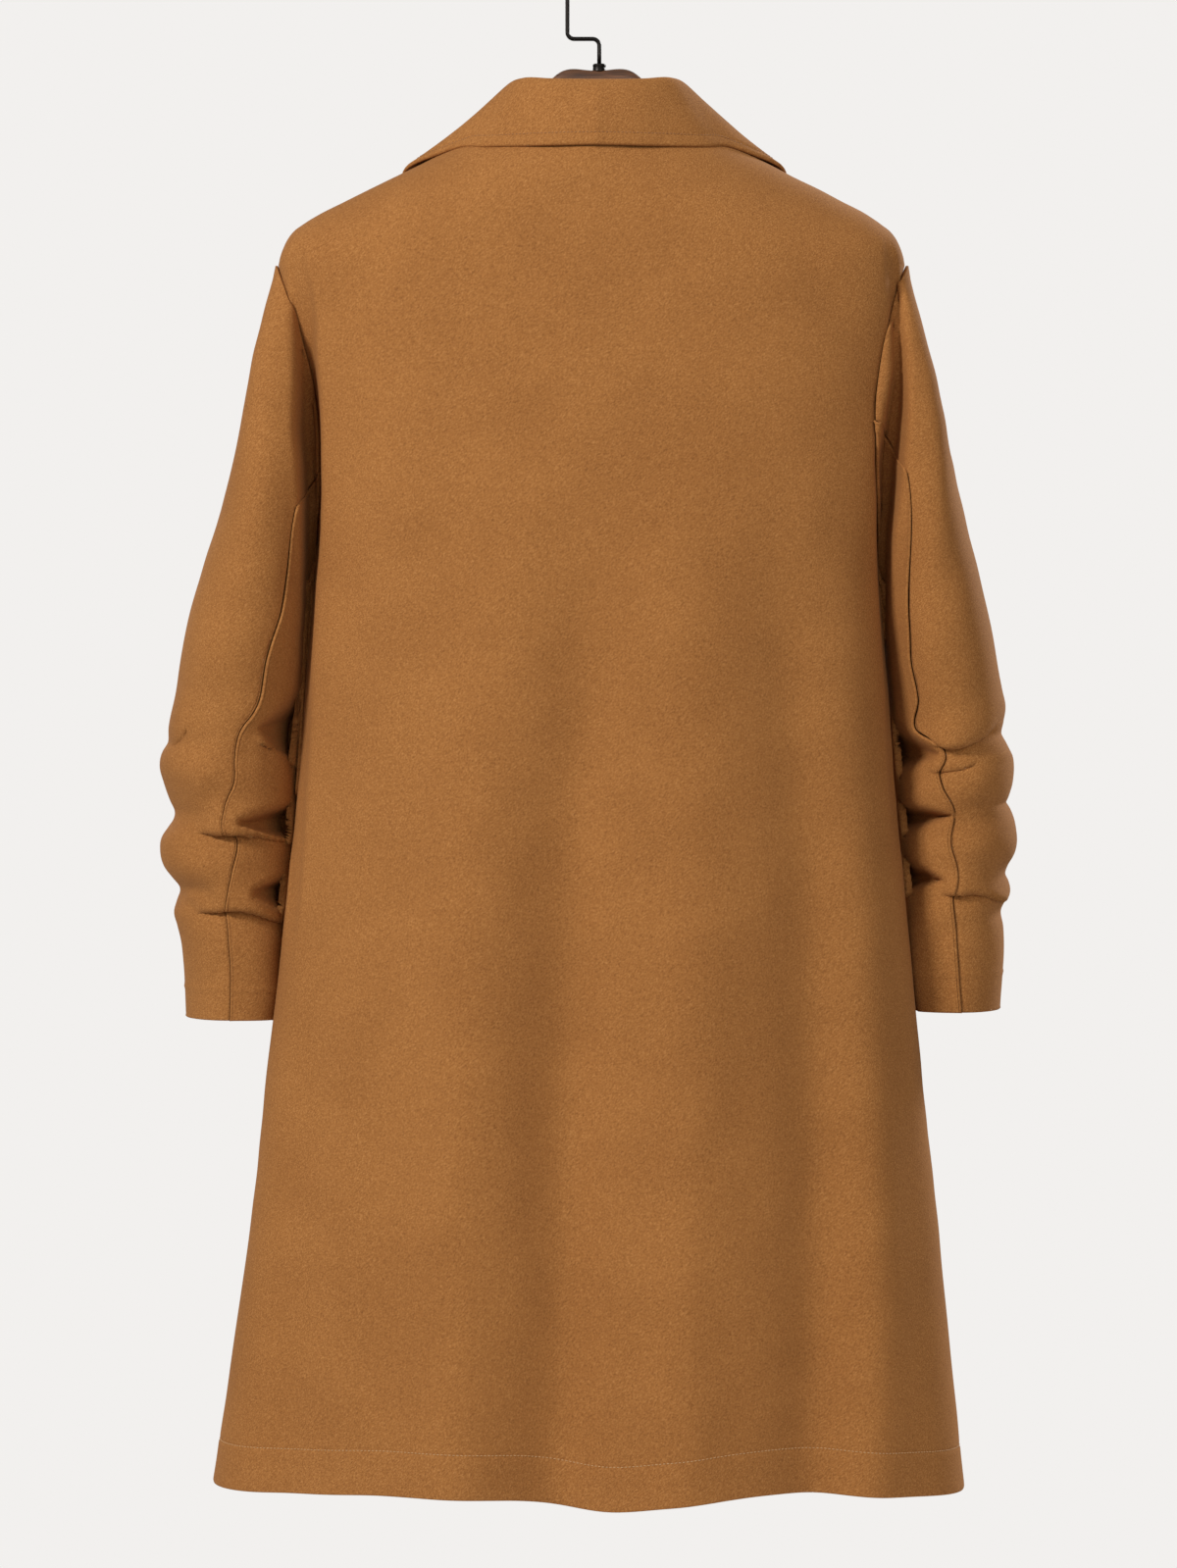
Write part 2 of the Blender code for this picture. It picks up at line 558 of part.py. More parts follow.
def lapel_grid(sign, roll_end, edge_end):
    """The lapel's face: round the fold from the front's inner side, then out over the front."""
    end_z = GORGE_Z + (BREAK_Z + 6 - GORGE_Z) * roll_end
    rows_z = front_grid(sign)[2:, 0, 2]
    edge_z = np.concatenate([[GORGE_Z - 1], rows_z[rows_z > end_z + 12], [end_z]])[:, None]
    share = (GORGE_Z - 1 - edge_z) / (GORGE_Z - 1 - end_z)
    edge_x = front_edge_x(edge_z)
    fold_y = front_point(sign * edge_x, edge_z, sign)[..., 1]
    radius = CLOTH + LAPEL_GAP / 2
    x_fold = edge_x - SEAM_GAP - radius * np.sin(LAPEL_TURN)
    y_fold = fold_y - LAPEL_GAP / 2 + radius * np.cos(LAPEL_TURN)
    z_fold = edge_z + 0 * x_fold
    far_x = along(LAPEL_EDGE, "x", "share", share * edge_end)
    far_z = along(LAPEL_EDGE, "z", "share", share * edge_end)
    x_over = edge_x + (far_x - edge_x) * LAPEL_ACROSS
    z_over = edge_z + (far_z - edge_z) * LAPEL_ACROSS
    sewn = GORGE_Z - GORGE_GAP + GORGE_SLOPE * (x_over[0] - GORGE_X)
    notch = GORGE_Z - GORGE_GAP + GORGE_SLOPE * NOTCH_SHARE * (far_x[0] - GORGE_X)
    free = notch + (far_z[0] - notch) * (LAPEL_ACROSS - NOTCH_SHARE) / (1 - NOTCH_SHARE)
    z_over[0] = np.where(LAPEL_ACROSS <= NOTCH_SHARE, sewn, free)
    y_over = front_point(sign * x_over, z_over, sign)[..., 1] - CLOTH - LAPEL_GAP
    return np.stack([
        sign * np.concatenate([x_fold, x_over], 1),
        np.concatenate([y_fold, y_over], 1),
        np.concatenate([z_fold, z_over], 1),
    ], -1)


def make_lapels():
    for name, sign, roll_end, edge_end in (("lapel_left", 1, 1, 1), ("lapel_right", -1, 0.68, 0.8)):
        grid = lapel_grid(sign, roll_end, edge_end)
        way = grid_normals(grid) * sign
        way[:, 0] = (0, -1, 0)
        grid[..., 0] += shift(grid[..., 2])
        sheet_wall(name, grid, grid + way * CLOTH)


# ---- Buttons and hanger ----

BUTTON_Z = (-520.0, -630.0, -740.0)
BUTTON_RADIUS, BUTTON_THICK = 14.0, 4.2
BUTTON_GAP = 1.5  # the shank's length, between the button and the cloth
BUTTON_PROFILE = table("radius height", [
    (9, -1), (13, -0.6), (14, 0), (13.4, 0.8), (12, 1), (10.5, 0.75), (9, 0.6),
])
HANGER_WIDTH = 13.0  # of the wooden bar, front to back
HOOK_WIRE = 1.6  # radius
HOOK_RADIUS = 18.0  # inside, round the rail
HOOK_BEND = 5.0  # radius of the two bends of its crank
HOOK_CRANK_Z = -65.0
HOOK_OVER = 20.0  # degrees that the hook runs on past the rail's far side
HOOK_TIP = table("x z", [(-1.2, -3), (-4, -7.5)])  # from there to its end
STEM_X = -4.4
FERRULE_RADIUS, FERRULE_TOP = 5.0, -84.0
FERRULE_EDGE = 0.8

# The wooden bar: its top edge and its height by distance from the centre.
BAR = table("x top height", [
    (0, -89, 32), (30, -92, 32), (44, -107, 30), (58, -131, 27), (80, -141.5, 26), (153, -176.5, 24),
    (187, -193.5, 21), (203, -203, 18), (213, -211, 12),
])


def turned(name, radii, offsets, centre, axis, sides, **finish):
    """A round piece: a profile of radii at offsets along an axis, closed by flat ends."""
    turn = np.linspace(0, 2 * np.pi, sides, endpoint=False)
    circle = np.outer(np.cos(turn), np.roll(axis, 1)) + np.outer(np.sin(turn), np.roll(axis, 2))
    middles = np.array(centre) + np.outer(offsets, axis)
    return lofted(name, middles[:, None] + np.multiply.outer(radii, circle), **finish)


def lofted(name, rings, **finish):
    """A closed solid from rings of equal count, capped at both ends."""
    count, sides = rings.shape[:2]
    index = np.arange(count * sides).reshape(count, sides)
    following = np.roll(index, -1, axis=1)
    quads = np.stack([index[:-1], following[:-1], following[1:], index[1:]], -1).reshape(-1, 4)
    faces = quads.tolist() + [index[0, ::-1].tolist(), index[-1].tolist()]
    return new_object(name, rings.reshape(-1, 3), faces, **finish)


def make_buttons():
    half = BUTTON_THICK / 2
    radii = BUTTON_PROFILE["radius"] / BUTTON_PROFILE["radius"].max() * BUTTON_RADIUS
    offsets = BUTTON_PROFILE["height"] * half
    for number, z in enumerate(BUTTON_Z, 1):
        cloth_y = front_point(np.array(0.0), np.array(z), 1)[1]
        centre = (float(shift(np.array(z))), cloth_y - BUTTON_GAP - half, z)
        turned(f"button_{number}", radii, offsets, centre, (0, -1, 0), 20,
               color=(0.07, 0.035, 0.02), roughness=0.35)


def make_bar():
    """The hanger's bar: a rounded upright section carried along the shoulders' slope."""
    x = np.concatenate([-BAR["x"][:0:-1], BAR["x"]])
    x = np.unique(np.concatenate([x, (x[1:] + x[:-1]) / 2]))
    far = np.abs(x)
    top, height = along(BAR, "top", "x", far), along(BAR, "height", "x", far)
    turn = np.radians(np.arange(22.5, 360, 45))
    across, up = np.cos(turn) / np.cos(np.pi / 8), np.sin(turn) / np.sin(np.radians(67.5))
    rings = np.stack([
        np.repeat(x[:, None], len(turn), 1),
        np.repeat(across[None] * HANGER_WIDTH / 2, len(x), 0),
        top[:, None] - height[:, None] * (1 - up[None]) / 2,
    ], -1)
    rings[..., 0] += shift(top)[:, None]
    lofted("hanger_bar", rings, color=(0.16, 0.07, 0.03), roughness=0.4)


def hook_path():
    """The wire's middle line: up the stem, a crank to the side, up again and over the rail."""
    radius = HOOK_RADIUS + HOOK_WIRE
    corner = np.linspace(0, np.pi / 2, 5)
    arc = np.linspace(0, np.pi + np.radians(HOOK_OVER), 15)
    out, up = HOOK_BEND * (1 - np.cos(corner)), HOOK_BEND * np.sin(corner)
    first = np.stack([STEM_X + out, HOOK_CRANK_Z - HOOK_BEND + up], -1)
    second = np.stack([radius - HOOK_BEND + up, HOOK_CRANK_Z + out], -1)
    over = np.stack([radius * np.cos(arc), radius * np.sin(arc) - HOOK_RADIUS], -1)
    tip = over[-1] + np.stack([HOOK_TIP["x"], HOOK_TIP["z"]], -1)
    flat = np.concatenate([[[STEM_X, FERRULE_TOP + SEAM_GAP]], first, second, over, tip])
    return np.stack([flat[:, 0], 0 * flat[:, 0], flat[:, 1]], -1)


def make_hook():
    path = hook_path()
    along_wire = unit(np.gradient(path, axis=0))
    along_wire[0] = (0, 0, 1)
    side = np.array([0, 1, 0])
    up = np.cross(along_wire, side)[:, None]
    turn = np.linspace(0, 2 * np.pi, 8, endpoint=False)[None, :, None]
    rings = path[:, None] + HOOK_WIRE * (np.cos(turn) * side + np.sin(turn) * up)
    lofted("hanger_hook", rings, color=(0.03, 0.028, 0.027), roughness=0.35, metallic=1.0)


def make_ferrule():
    foot = float(along(BAR, "top", "x", np.array(abs(STEM_X)))) + FERRULE_EDGE
    height = FERRULE_TOP - foot
    radii = (FERRULE_RADIUS, FERRULE_RADIUS, FERRULE_RADIUS - FERRULE_EDGE)
    turned("hanger_ferrule", radii, (0, height - FERRULE_EDGE, height), (STEM_X, 0, foot), (0, 0, 1), 16,
           color=(0.03, 0.028, 0.027), roughness=0.4, metallic=1.0)


for old in list(bpy.data.objects):
    bpy.data.objects.remove(old)
for make in (make_back, make_fronts, make_sleeves, make_collar, make_lapels):
    make()
for make in (make_buttons, make_bar, make_ferrule, make_hook):
    make()
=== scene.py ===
"""A camel overcoat of felted wool, buttoned and hung on a wooden hanger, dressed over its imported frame.

Sizes are in millimetres until a mesh is made. +Z is up, the coat faces -Y, +X is the side of its left sleeve,
and the origin is the inside of the hook's top.
"""

import bpy
import numpy as np
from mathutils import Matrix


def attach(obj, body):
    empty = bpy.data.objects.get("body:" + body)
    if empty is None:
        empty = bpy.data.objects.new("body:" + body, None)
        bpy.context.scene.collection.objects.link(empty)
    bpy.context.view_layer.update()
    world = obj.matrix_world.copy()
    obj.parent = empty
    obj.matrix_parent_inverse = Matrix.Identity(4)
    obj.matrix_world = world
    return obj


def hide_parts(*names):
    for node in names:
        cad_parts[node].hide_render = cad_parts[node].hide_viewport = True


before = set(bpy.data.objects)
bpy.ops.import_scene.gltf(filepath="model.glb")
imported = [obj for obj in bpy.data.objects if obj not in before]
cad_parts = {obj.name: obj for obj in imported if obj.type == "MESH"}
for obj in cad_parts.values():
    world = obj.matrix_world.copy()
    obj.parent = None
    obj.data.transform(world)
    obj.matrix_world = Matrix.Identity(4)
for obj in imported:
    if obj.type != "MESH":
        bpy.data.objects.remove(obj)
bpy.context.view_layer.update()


# ======== The back ========
# One panel of felted wool, 2.2 mm thick, cut with no centre seam and no vent. It hangs from the shoulder
# seams in long soft folds, is sewn to the fronts and the sleeves, and its hem is turned up and held by a
# row of stitches.

MM = 0.001
CLOTH = 2.2
SEAM_GAP = 0.3

NECK_HALF = 80.0
NECK_SIDE_Z, NECK_BACK_Z = -133.0, -136.0
SHOULDER_HALF, SHOULDER_Z = 236.5, -236.0
ARMPIT_Z = -476.0
ARMHOLE_DEPTH = 45.0
SIDE_Y = -3.0
SHOULDER_ROLL, SHOULDER_END_ROLL = 75.0, 6.0  # the ridge's roundness at the neck and at the shoulder's end
ROUNDNESS = 2.5

BACK_NECK_COLUMNS, BACK_SHOULDER_COLUMNS = 28, 72
ARMHOLE_ROWS, SKIRT_ROWS = 66, 120
HEM_STITCHES = 33.0  # the stitch row's height above the hem
HEM_DOUBLE = 0.35  # how far the turned-up hem pushes the cloth out
HEM_CORNER_Z, HEM_CORNER_X = -1150.0, 276.5

# How far the cloth is drawn in, and how wide: at a seam, in the hollow beside it, and at a turned edge.
SEAM_SINK, SEAM_WIDTH = 0.4, 1.2
HOLLOW_SINK, HOLLOW_WIDTH, HOLLOW_FROM_SEAM = 0.25, 2.5, 4.0
EDGE_SINK, EDGE_WIDTH = 0.7, 0.8


def table(columns, rows):
    """Rows of numbers as one array for each named column."""
    return dict(zip(columns.split(), np.array(rows, float).T))


# The shoulder's ridge by distance from the centre, the armhole's seam by height, and the body's half width,
# centre back, centre front and sideways shift by height.
RIDGE = table("x z", [
    (0, -93), (80, -133), (153, -170.5), (187, -187.5), (208, -198.5), (218, -205), (225.4, -211),
    (229.6, -217), (233.8, -227), (236.5, -236),
])
ARMHOLE = table("z x", [
    (-476, 216), (-440, 212), (-400, 209), (-333, 210.5), (-303, 216), (-280, 222), (-255, 229.5),
    (-236, 236.5),
])
BODY = table("z half back front shift", [
    (-1160, 283.5, 112, -92, 4), (-1072, 273, 110, -92, 2), (-998, 264, 108, -91, 0),
    (-924, 255.5, 106, -90, -1), (-850, 247.5, 104, -90, -1), (-740, 236, 102, -92, -2),
    (-657, 227.5, 100, -94, -2), (-598, 223, 99, -96, -2), (-540, 219.5, 98, -97, -2),
    (-476, 216, 96, -98, -2), (-400, 216, 92, -92, -3), (-331, 216, 86, -84, -1), (-250, 216, 76, -72, 1.5),
    (-200, 216, 67, -62, 0.5), (-150, 216, 56, -50, -1.5), (-131, 216, 50, -46, -2.5),
])
HEM = table("x z", [
    (-283, -1156), (-200, -1148), (-130, -1145), (-60, -1151), (-16, -1156), (60, -1147), (144, -1145),
    (233, -1149), (283, -1151),
])

# The long folds of the back: place at armpit, waist and hem, half width, and height at each.
BACK_FOLDS = table("x_top x_mid x_hem width h_top h_mid h_hem", [
    (66, 92, 100, 40, 3, 10, 14), (4, 18, 22, 30, -3, -10, -15), (-62, -72, -72, 38, 3, 8, 13),
    (-128, -156, -164, 26, -4, -9, -13), (-192, -204, -216, 22, 3, 6, 9), (176, 206, 226, 26, -3, -6, -9),
])
FOLD_TOP, FOLD_MID, FOLD_HEM = -300.0, -740.0, -1150.0
FOLD_PACE, FOLD_START = 1.15, 4.0  # how soon the folds reach their hem form, and how soon they begin

# The deep fold beside each armhole, where the sleeve hangs away from the body: distance from the centre, half
# width and depth by height, left then right.
ARM_FOLD = {
    1: table("z x width depth", [
        (-222, 221, 5, 0), (-239, 218.5, 6, 2), (-261, 216, 8, 5), (-281, 215, 9, 10), (-304, 215, 8, 20),
        (-338, 215, 8.5, 34), (-366, 216, 9, 42), (-388, 215.5, 8, 42), (-420, 215.5, 7.5, 40),
        (-445, 215.5, 7, 36), (-473, 216, 6, 26), (-529, 218.5, 6, 18), (-600, 221, 6, 14),
        (-700, 225, 5, 8), (-760, 229, 4, 0),
    ]),
    -1: table("z x width depth", [
        (-215, 221, 4, 0), (-235, 223.5, 4, 2), (-260, 227, 5, 6), (-288, 227.5, 6, 12),
        (-317, 227, 6.5, 20), (-352, 223.5, 9, 32), (-381, 219.5, 10, 40), (-416, 217.5, 8, 40),
        (-442, 216.5, 6.5, 34), (-466, 217, 5.5, 26), (-507, 217.5, 4, 14), (-553, 218, 2.5, 8),
        (-640, 222, 2.5, 4), (-700, 226, 3, 0),
    ]),
}
FRONT_SHARE = 0.6  # how deep the same fold is on the hidden side

# Faint hollows and swells where the cloth has been pressed and carried: each runs between two places.
BACK_DENTS = table("x1 z1 x2 z2 depth width", [
    (205, -330, 168, -520, 1.6, 20), (-204, -320, -170, -500, 1.8, 22), (150, -215, 196, -300, 1.2, 16),
    (-150, -220, -198, -310, 1.2, 16), (70, -190, -60, -196, 1.0, 14), (-20, -470, 14, -640, 1.2, 20),
    (90, -880, 70, -1080, 1.4, 18), (-80, -900, -92, -1120, 1.4, 16), (-230, -800, -244, -1050, 1.6, 18),
    (236, -900, 250, -1090, 1.4, 16),
])


def along(rows, column, key, at):
    """A column's value where the key column is `at`: a cubic through the rows, sloped as their neighbours."""
    order = np.argsort(rows[key])
    x, y = rows[key][order], rows[column][order]
    slope = np.gradient(y, x)
    at = np.clip(at, x[0], x[-1])
    i = np.clip(np.searchsorted(x, at) - 1, 0, len(x) - 2)
    step = x[i + 1] - x[i]
    t = (at - x[i]) / step
    rise = y[i + 1] - y[i]
    start, end = slope[i] * step - rise, rise - slope[i + 1] * step
    return y[i] + rise * t + t * (1 - t) * (start * (1 - t) + end * t)


def ease(t):
    """0 below 0, 1 above 1, and a soft S between."""
    t = np.clip(t, 0, 1)
    return t * t * (3 - 2 * t)


def unit(v):
    """Vectors divided by their own lengths."""
    return v / np.maximum(np.linalg.norm(v, axis=-1, keepdims=True), 1e-9)


def bell(distance, width):
    """1 at no distance, falling to nothing as a bell of that half width."""
    return np.exp(-((distance / width) ** 2))


def joined(x, y, z):
    """Three arrays as points, a single number spread over the others."""
    return np.stack(np.broadcast_arrays(x, y, z), -1)


def grid_normals(grid):
    """The unit normal at each point of a grid: the cross product of its slopes along rows and columns."""
    return unit(np.cross(np.gradient(grid, axis=1), np.gradient(grid, axis=0)))


def faced(normals, side):
    """Normals turned over if the grid's middle doesn't look to a side: 1 for the back, -1 for the front."""
    rows, columns = normals.shape[:2]
    return normals * (side * np.sign(normals[rows // 2, columns // 2, 1]))


def from_edge(grid, edge):
    """Each point's distance from a named edge, added up along its row or its column."""
    axis = 0 if edge in ("top", "bottom") else 1
    turned = grid if edge in ("top", "first") else np.flip(grid, axis)
    steps = np.linalg.norm(np.diff(turned, axis=axis), axis=-1)
    start = np.zeros_like(np.take(steps, [0], axis=axis))
    length = np.cumsum(np.concatenate([start, steps], axis=axis), axis=axis)
    return length if edge in ("top", "first") else np.flip(length, axis)


def armhole_edge(z):
    """Distance from the centre, and half depth, of the armhole's seam at a height; below, the side seam."""
    half_height = (SHOULDER_Z - ARMPIT_Z) / 2
    cosine = np.clip((z - ARMPIT_Z) / half_height - 1, -1, 1)
    depth = ARMHOLE_DEPTH * np.sqrt(1 - cosine**2)
    x = np.where(z < ARMPIT_Z, along(BODY, "half", "z", z), along(ARMHOLE, "x", "z", z))
    return x, depth


def folds(x, z, rows):
    """Height of the long folds: each is a soft bell across the cloth, growing from shoulder to hem."""
    down = ease((FOLD_TOP - z) / (FOLD_TOP - FOLD_HEM) * FOLD_PACE)
    middle = (FOLD_TOP - FOLD_MID) / (FOLD_TOP - FOLD_HEM)
    path = np.array([0, middle, 1])
    height = np.zeros_like(x)
    for x_top, x_mid, x_hem, width, h_top, h_mid, h_hem in zip(*rows.values()):
        at = np.interp(down, path, [x_top, x_mid, x_hem])
        size = np.interp(down, path, [h_top, h_mid, h_hem])
        height += size * ease(down * FOLD_START) * bell(x - at, width)
    return height


def form_y(x, z, side, rows):
    """The body's depth at a place: a squarish oval through the side seams, rounded in at the shoulders."""
    edge_x, edge_depth = armhole_edge(z)
    centre = along(BODY, "back" if side > 0 else "front", "z", z)
    reach = np.abs(centre - SIDE_Y)
    width = edge_x / (1 - (edge_depth / reach) ** ROUNDNESS) ** (1 / ROUNDNESS)
    across = np.clip(np.abs(x) / width, 0, 1)
    depth = reach * (1 - across**ROUNDNESS) ** (1 / ROUNDNESS)
    below = along(RIDGE, "z", "x", np.abs(x)) - z
    roll = SHOULDER_ROLL * (1 - across**4) + SHOULDER_END_ROLL
    depth *= np.sqrt(1 - (1 - np.clip(below / roll, 0, 1)) ** 2)
    return SIDE_Y + side * (depth + folds(x, z, rows) * (1 - across**6))


def body_y(x, z, over_back):
    """The body's depth at places over the back, where over_back is true, and over the front elsewhere."""
    return np.where(over_back, form_y(x, z, 1, BACK_FOLDS), form_y(x, z, -1, FRONT_FOLDS))


def back_neck_z(x):
    """The back neck seam's height at a distance from the centre: a shallow parabola."""
    return NECK_BACK_Z + (NECK_SIDE_Z - NECK_BACK_Z) * (x / NECK_HALF) ** 2


def shift(z):
    """How far the coat hangs to the side of its hanger at a height."""
    return along(BODY, "shift", "z", z)


def near_ends(count, length, first=True):
    """Even steps from 0 to 1, with closer ones within 4 mm of both ends, or only the last, of an edge."""
    close = np.array([0.5, 1.0, 1.6, 2.4, 3.6]) / length
    parts = [np.linspace(0, 1, count), 1 - close, close if first else []]
    return np.unique(np.concatenate(parts))


def shoulder_columns(count):
    """Distances from the centre of the columns that end on the shoulder seam, closer towards its end."""
    share = near_ends(count, SHOULDER_HALF - NECK_HALF, first=False)
    return NECK_HALF + (SHOULDER_HALF - NECK_HALF) * share ** 0.85


def row_shares():
    """Each row's share of the way to the hem: the armhole's rows on a half circle, then the skirt's, closer
    at the stitch row and the edge."""
    whole = SHOULDER_Z - along(HEM, "z", "x", HEM_CORNER_X)
    turn = np.linspace(0, np.pi, ARMHOLE_ROWS)
    upper = (SHOULDER_Z - ARMPIT_Z) * (1 - np.cos(turn)) / 2 / whole
    lower = np.linspace(upper[-1], 1, SKIRT_ROWS)[1:]
    stitched = 1 - (HEM_STITCHES + np.array([-4, -2.6, -1.4, -0.6, 0, 0.6, 1.4, 2.6, 4])) / whole
    edge = 1 - np.array([0.5, 1.0, 1.8, 3.0]) / whole
    return np.unique(np.concatenate([upper, lower, stitched, edge]).round(6))


def hung_rows(top_x, top_z, place_x):
    """Rows from a panel's top edge to the hem: x and z of each point; place_x gives x at any height."""
    hem_z = along(HEM, "z", "x", place_x(np.full_like(top_x, HEM_CORNER_Z)))
    z = top_z + (hem_z - top_z) * row_shares()[:, None]
    x = place_x(z)
    x[0] = top_x
    return x, z


def dents(x, z, rows):
    """Soft troughs between two places each: a bell across the line, fading out towards both of its ends."""
    depth = np.zeros_like(x)
    for x1, z1, x2, z2, deep, width in zip(*rows.values()):
        run, fall = x2 - x1, z2 - z1
        t = np.clip(((x - x1) * run + (z - z1) * fall) / (run**2 + fall**2), -0.2, 1.2)
        away = np.hypot(x - x1 - t * run, z - z1 - t * fall)
        depth -= deep * np.sin(np.pi * (t + 0.2) / 1.4) * bell(away, width)
    return depth


def arm_fold(points):
    """How far the folds beside the armholes take each point towards the body's middle: flat at the fold's
    bottom, with steep sides, and nothing where the back and the fronts meet."""
    x, y, z = points[..., 0], points[..., 1], points[..., 2]
    depth = np.zeros_like(x)
    for sign, rows in ARM_FOLD.items():
        away = (sign * x - along(rows, "x", "z", z)) / along(rows, "width", "z", z)
        inside = (z > rows["z"].min()) & (z < rows["z"].max())
        depth += along(rows, "depth", "z", z) * np.exp(-np.minimum(away**6, 30)) * inside
    return depth * np.where(y > SIDE_Y, 1, -FRONT_SHARE) * ease(np.abs(y - SIDE_Y) / 12)


def unevenness(x, z):
    """The cloth's own slight waviness: three crossing waves, a few tenths of a millimetre high."""
    return (0.22 * np.sin(x / 17 + 1.3 * np.sin(z / 61)) + 0.2 * np.sin(z / 23 + 1.7 * np.sin(x / 37))
            + 0.14 * np.sin((x + z) / 9.5 + 2 * np.sin((x - z) / 41)))


def linear(color):
    """An sRGB hex colour as linear red, green, blue and 1."""
    values = np.array([int(color[i:i + 2], 16) for i in (1, 3, 5)]) / 255
    low, high = values / 12.92, ((values + 0.055) / 1.055) ** 2.4
    return (*np.where(values <= 0.04045, low, high), 1)


def add_node(tree, kind, settings=(), **links):
    """A node with its settings, by socket or attribute name, and links to its inputs (_ for a space)."""
    node = tree.nodes.new(kind)
    for name, value in dict(settings).items():
        if hasattr(node, name):
            setattr(node, name, value)
        else:
            node.inputs[name].default_value = value
    for name, socket in links.items():
        tree.links.new(socket, node.inputs[name.replace("_", " ")])
    return node


def new_material(name, color, roughness, **constants):
    """A material with one principled shader; returns it, its node tree and the shader."""
    made = bpy.data.materials.new(name)
    made.use_nodes = True
    shader = made.node_tree.nodes["Principled BSDF"]
    shader.inputs["Base Color"].default_value = linear(color)
    shader.inputs["Roughness"].default_value = roughness
    for socket, value in constants.items():
        shader.inputs[socket.replace("_", " ")].default_value = value
    return made, made.node_tree, shader


def ramp(tree, factor, stops):
    """A colour ramp fed by a factor: positions and hex colours."""
    node = add_node(tree, "ShaderNodeValToRGB", Fac=factor)
    for element, (position, color) in zip(node.color_ramp.elements, stops[:2]):
        element.position, element.color = position, linear(color)
    for position, color in stops[2:]:
        node.color_ramp.elements.new(position).color = linear(color)
    return node


WOOL_DARK, WOOL_MIDDLE, WOOL_LIGHT = "#946030", "#A97039", "#BC834A"
WOOL_TWILL = (0.8, 2.0)  # width and length in millimetres of the nap's slanting tufts
WOOL_FIBRE = 0.8  # the fibres' own spacing is under 0.1 mm; drawn this coarse so that it shows
WOOL_CLOUD = 70.0  # patches where the nap was brushed another way
TWILL_SLANT = 48.0  # degrees from upright


def felted_wool():
    """Camel wool twill, fulled and brushed: a dull face of short slanting tufts, with loose fibres that
    catch the light at the edges. Wool's refractive index is about 1.55."""
    made, tree, shader = new_material(
        "felted_camel_wool", "#A8713F", 0.92, IOR=1.55, Specular_IOR_Level=0.2,
        Sheen_Weight=0.12, Sheen_Roughness=0.5, Sheen_Tint=linear("#D9A673"))
    place = add_node(tree, "ShaderNodeTexCoord").outputs["Object"]
    across, length = WOOL_TWILL
    slanted = add_node(tree, "ShaderNodeMapping", {"Rotation": (0, np.radians(TWILL_SLANT), 0)}, Vector=place)
    drawn = add_node(tree, "ShaderNodeMapping", {"Scale": (1 / across, 1 / across, 1 / length)},
                     Vector=slanted.outputs["Vector"])
    noise, bump = "ShaderNodeTexNoise", "ShaderNodeBump"
    tufts = add_node(tree, noise, {"Scale": 1 / MM, "Detail": 2.0, "Roughness": 0.55, "Distortion": 0.4},
                     Vector=drawn.outputs["Vector"])
    fibre = add_node(tree, noise, {"Scale": 1 / (WOOL_FIBRE * MM), "Detail": 2.0, "Distortion": 1.0},
                     Vector=place)
    cloud = add_node(tree, noise, {"Scale": 1 / (WOOL_CLOUD * MM), "Detail": 1.0}, Vector=place)
    grain = ramp(tree, tufts.outputs["Fac"], [(0.3, WOOL_DARK), (0.7, WOOL_LIGHT), (0.5, WOOL_MIDDLE)])
    patch = ramp(tree, cloud.outputs["Fac"], [(0.35, "#F5F3F1"), (0.65, "#FFFFFF")])
    flecks = ramp(tree, fibre.outputs["Fac"], [(0.35, "#E2DDD8"), (0.6, "#FFFFFF")])
    multiply = ("ShaderNodeMixRGB", {"blend_type": "MULTIPLY", "Fac": 1.0})
    patched = add_node(tree, *multiply, Color1=grain.outputs["Color"], Color2=patch.outputs["Color"])
    flecked = add_node(tree, *multiply, Color1=patched.outputs["Color"], Color2=flecks.outputs["Color"])
    tree.links.new(flecked.outputs["Color"], shader.inputs["Base Color"])
    coarse = add_node(tree, bump, {"Strength": 0.5, "Distance": 0.45 * MM}, Height=tufts.outputs["Fac"])
    fine = add_node(tree, bump, {"Strength": 0.45, "Distance": 0.2 * MM}, Height=fibre.outputs["Fac"],
                    Normal=coarse.outputs["Normal"])
    tree.links.new(fine.outputs["Normal"], shader.inputs["Normal"])
    return made


WOOL = felted_wool()


def new_piece(name, points, faces, material, node):
    """A smooth mesh of points in millimetres that rides on the coat, with its CAD node and its finish."""
    mesh = bpy.data.meshes.new(name)
    mesh.from_pydata((points.reshape(-1, 3) * MM).tolist(), [], faces.tolist())
    mesh.shade_smooth()
    mesh.materials.append(material)
    made = bpy.data.objects.new(name, mesh)
    bpy.context.collection.objects.link(made)
    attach(made, "root")
    if node:
        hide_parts(node)
    return made


def shell_faces(rows, columns):
    """Faces of a closed wall: an outer grid, an inner one after it, then a ring of points round the middle
    of the edge, which the two grids' edges are joined to."""
    index = np.arange(rows * columns).reshape(rows, columns)
    quads = np.stack([index[:-1, :-1], index[:-1, 1:], index[1:, 1:], index[1:, :-1]], -1).reshape(-1, 4)
    rim = np.concatenate([index[0, :-1], index[:-1, -1], index[-1, :0:-1], index[:0:-1, 0]])
    following = np.roll(rim, -1)
    under = rows * columns
    middle = 2 * under + np.arange(len(rim))
    middle_following = np.roll(middle, -1)
    outer_side = np.stack([following, rim, middle, middle_following], -1)
    inner_side = np.stack([middle_following, middle, rim + under, following + under], -1)
    return rim, np.concatenate([quads, quads[:, ::-1] + under, outer_side, inner_side])


